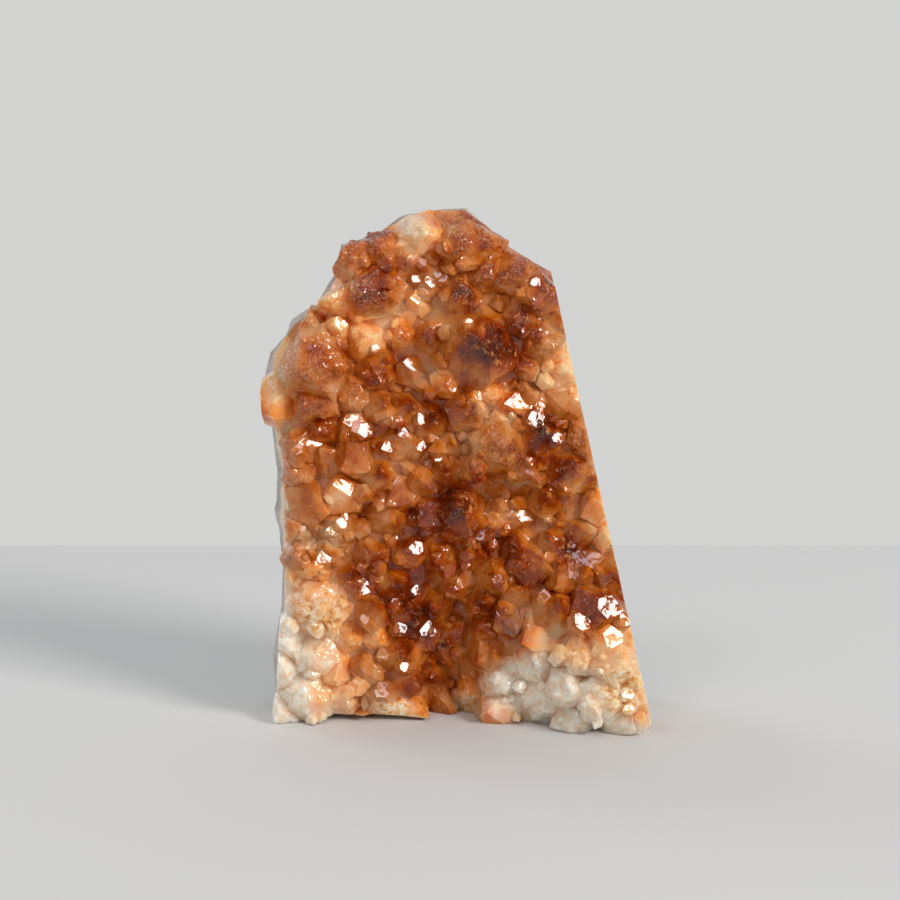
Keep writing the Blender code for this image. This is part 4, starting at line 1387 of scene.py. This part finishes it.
class DRUSE_OT_roughen_rind(bpy.types.Operator):
    """Give the rind its weathered skin"""
    bl_idname = "druse.roughen_rind"
    bl_label = "Roughen the rind"

    def execute(self, context):
        sizes, look = context.scene.druse_sizes, context.scene.druse_look
        rind = bpy.data.objects.new("geode_rind", frame["nodes"]["rind"].data.copy())
        bpy.context.scene.collection.objects.link(rind)
        mesh = rind.data
        weld(mesh)
        split_long_edges(mesh, sizes.rind_edge, at_seam)
        on_saw, held = sawn_faces(mesh)
        places = mesh_places(mesh)
        front = np.array([y < seam(x, z) + RIND_FRONT for x, y, z in places / MM])
        room = np.array([edge_room(x, z) for x, _, z in places / MM])
        relief = lumps_at(places, RIND_LUMPS) * np.clip(
            RIND_EDGE_RELIEF + room / RIND_RELIEF_REACH, 0, 1)
        relief = np.where(room < RIM_CLEAR, np.minimum(relief, 0), relief)
        roughen(mesh, relief, held | front)
        write_numbers(mesh, {"relief": relief})
        mesh.shade_smooth()
        mesh.set_sharp_from_angle(angle=RIND_CRISP)
        mesh.materials.clear()
        mesh.materials.append(rind_material("weathered_rind", look, False))
        mesh.materials.append(rind_material("sawn_rind", look, True))
        for face, sawn in zip(mesh.polygons, on_saw):
            face.material_index = int(sawn)
        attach(rind, "root")
        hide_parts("rind")
        return {"FINISHED"}


class DRUSE_OT_set_stage(bpy.types.Operator):
    """Set the table top, the lights and the camera"""
    bl_idname = "druse.set_stage"
    bl_label = "Set the stage"

    def execute(self, context):
        stage = context.scene.druse_stage
        floor = bpy.data.objects.new("table_top", table_mesh(
            "table_top", stage.table_behind, TABLE_REACH, TABLE_THICKNESS, TABLE_ROUNDING))
        bpy.context.scene.collection.objects.link(floor)
        floor.data.materials.append(paper_material("pale_card", stage.floor_colour))

        for name, place, size, power, colour in (
                ("key", KEY, stage.key_size, stage.key_power, "#fffaf4"),
                ("sky", SKY, stage.sky_size, stage.sky_power, "#eeecf6"),
                ("window", WINDOW, stage.window_size, stage.window_power, "#fbfaff")):
            add_area_light(name, place, size, power, colour)
        context.scene.world = pale_room(stage.world)
        context.scene.view_settings.view_transform = "Standard"

        camera = bpy.data.objects.new("camera", bpy.data.cameras.new("camera"))
        camera.data.sensor_width = SENSOR
        camera.data.lens = SENSOR * (EYE - AIM).length * MM / stage.view_height
        camera.data.clip_start = 0.01
        camera.rotation_euler = (EYE - AIM).to_track_quat("Z", "Y").to_euler()
        camera.location = EYE * MM
        context.scene.collection.objects.link(camera)
        context.scene.camera = camera
        return {"FINISHED"}


class DRUSE_PT_panel(bpy.types.Panel):
    """Settings and steps of the druse"""
    bl_label = "Citrine druse"
    bl_idname = "DRUSE_PT_panel"
    bl_space_type = "VIEW_3D"
    bl_region_type = "UI"
    bl_category = "Druse"

    def draw(self, context):
        for group in (context.scene.druse_sizes, context.scene.druse_look,
                      context.scene.druse_stage):
            box = self.layout.box()
            for name in group.__annotations__:
                box.prop(group, name)
        for operator in OPERATORS:
            self.layout.operator(operator.bl_idname)


GROUPS = {"druse_sizes": DruseSizes, "druse_look": DruseLook, "druse_stage": DruseStage}
OPERATORS = (DRUSE_OT_grow_crust, DRUSE_OT_roughen_rind, DRUSE_OT_set_stage)


def register():
    for made in (*GROUPS.values(), *OPERATORS, DRUSE_PT_panel):
        bpy.utils.register_class(made)
    for name, group in GROUPS.items():
        setattr(bpy.types.Scene, name, bpy.props.PointerProperty(type=group))


def unregister():
    for name in GROUPS:
        delattr(bpy.types.Scene, name)
    for made in reversed((*GROUPS.values(), *OPERATORS, DRUSE_PT_panel)):
        bpy.utils.unregister_class(made)


def main():
    register()
    bpy.ops.druse.grow_crust()
    bpy.ops.druse.roughen_rind()
    bpy.ops.druse.set_stage()


if __name__ == "__main__":
    main()
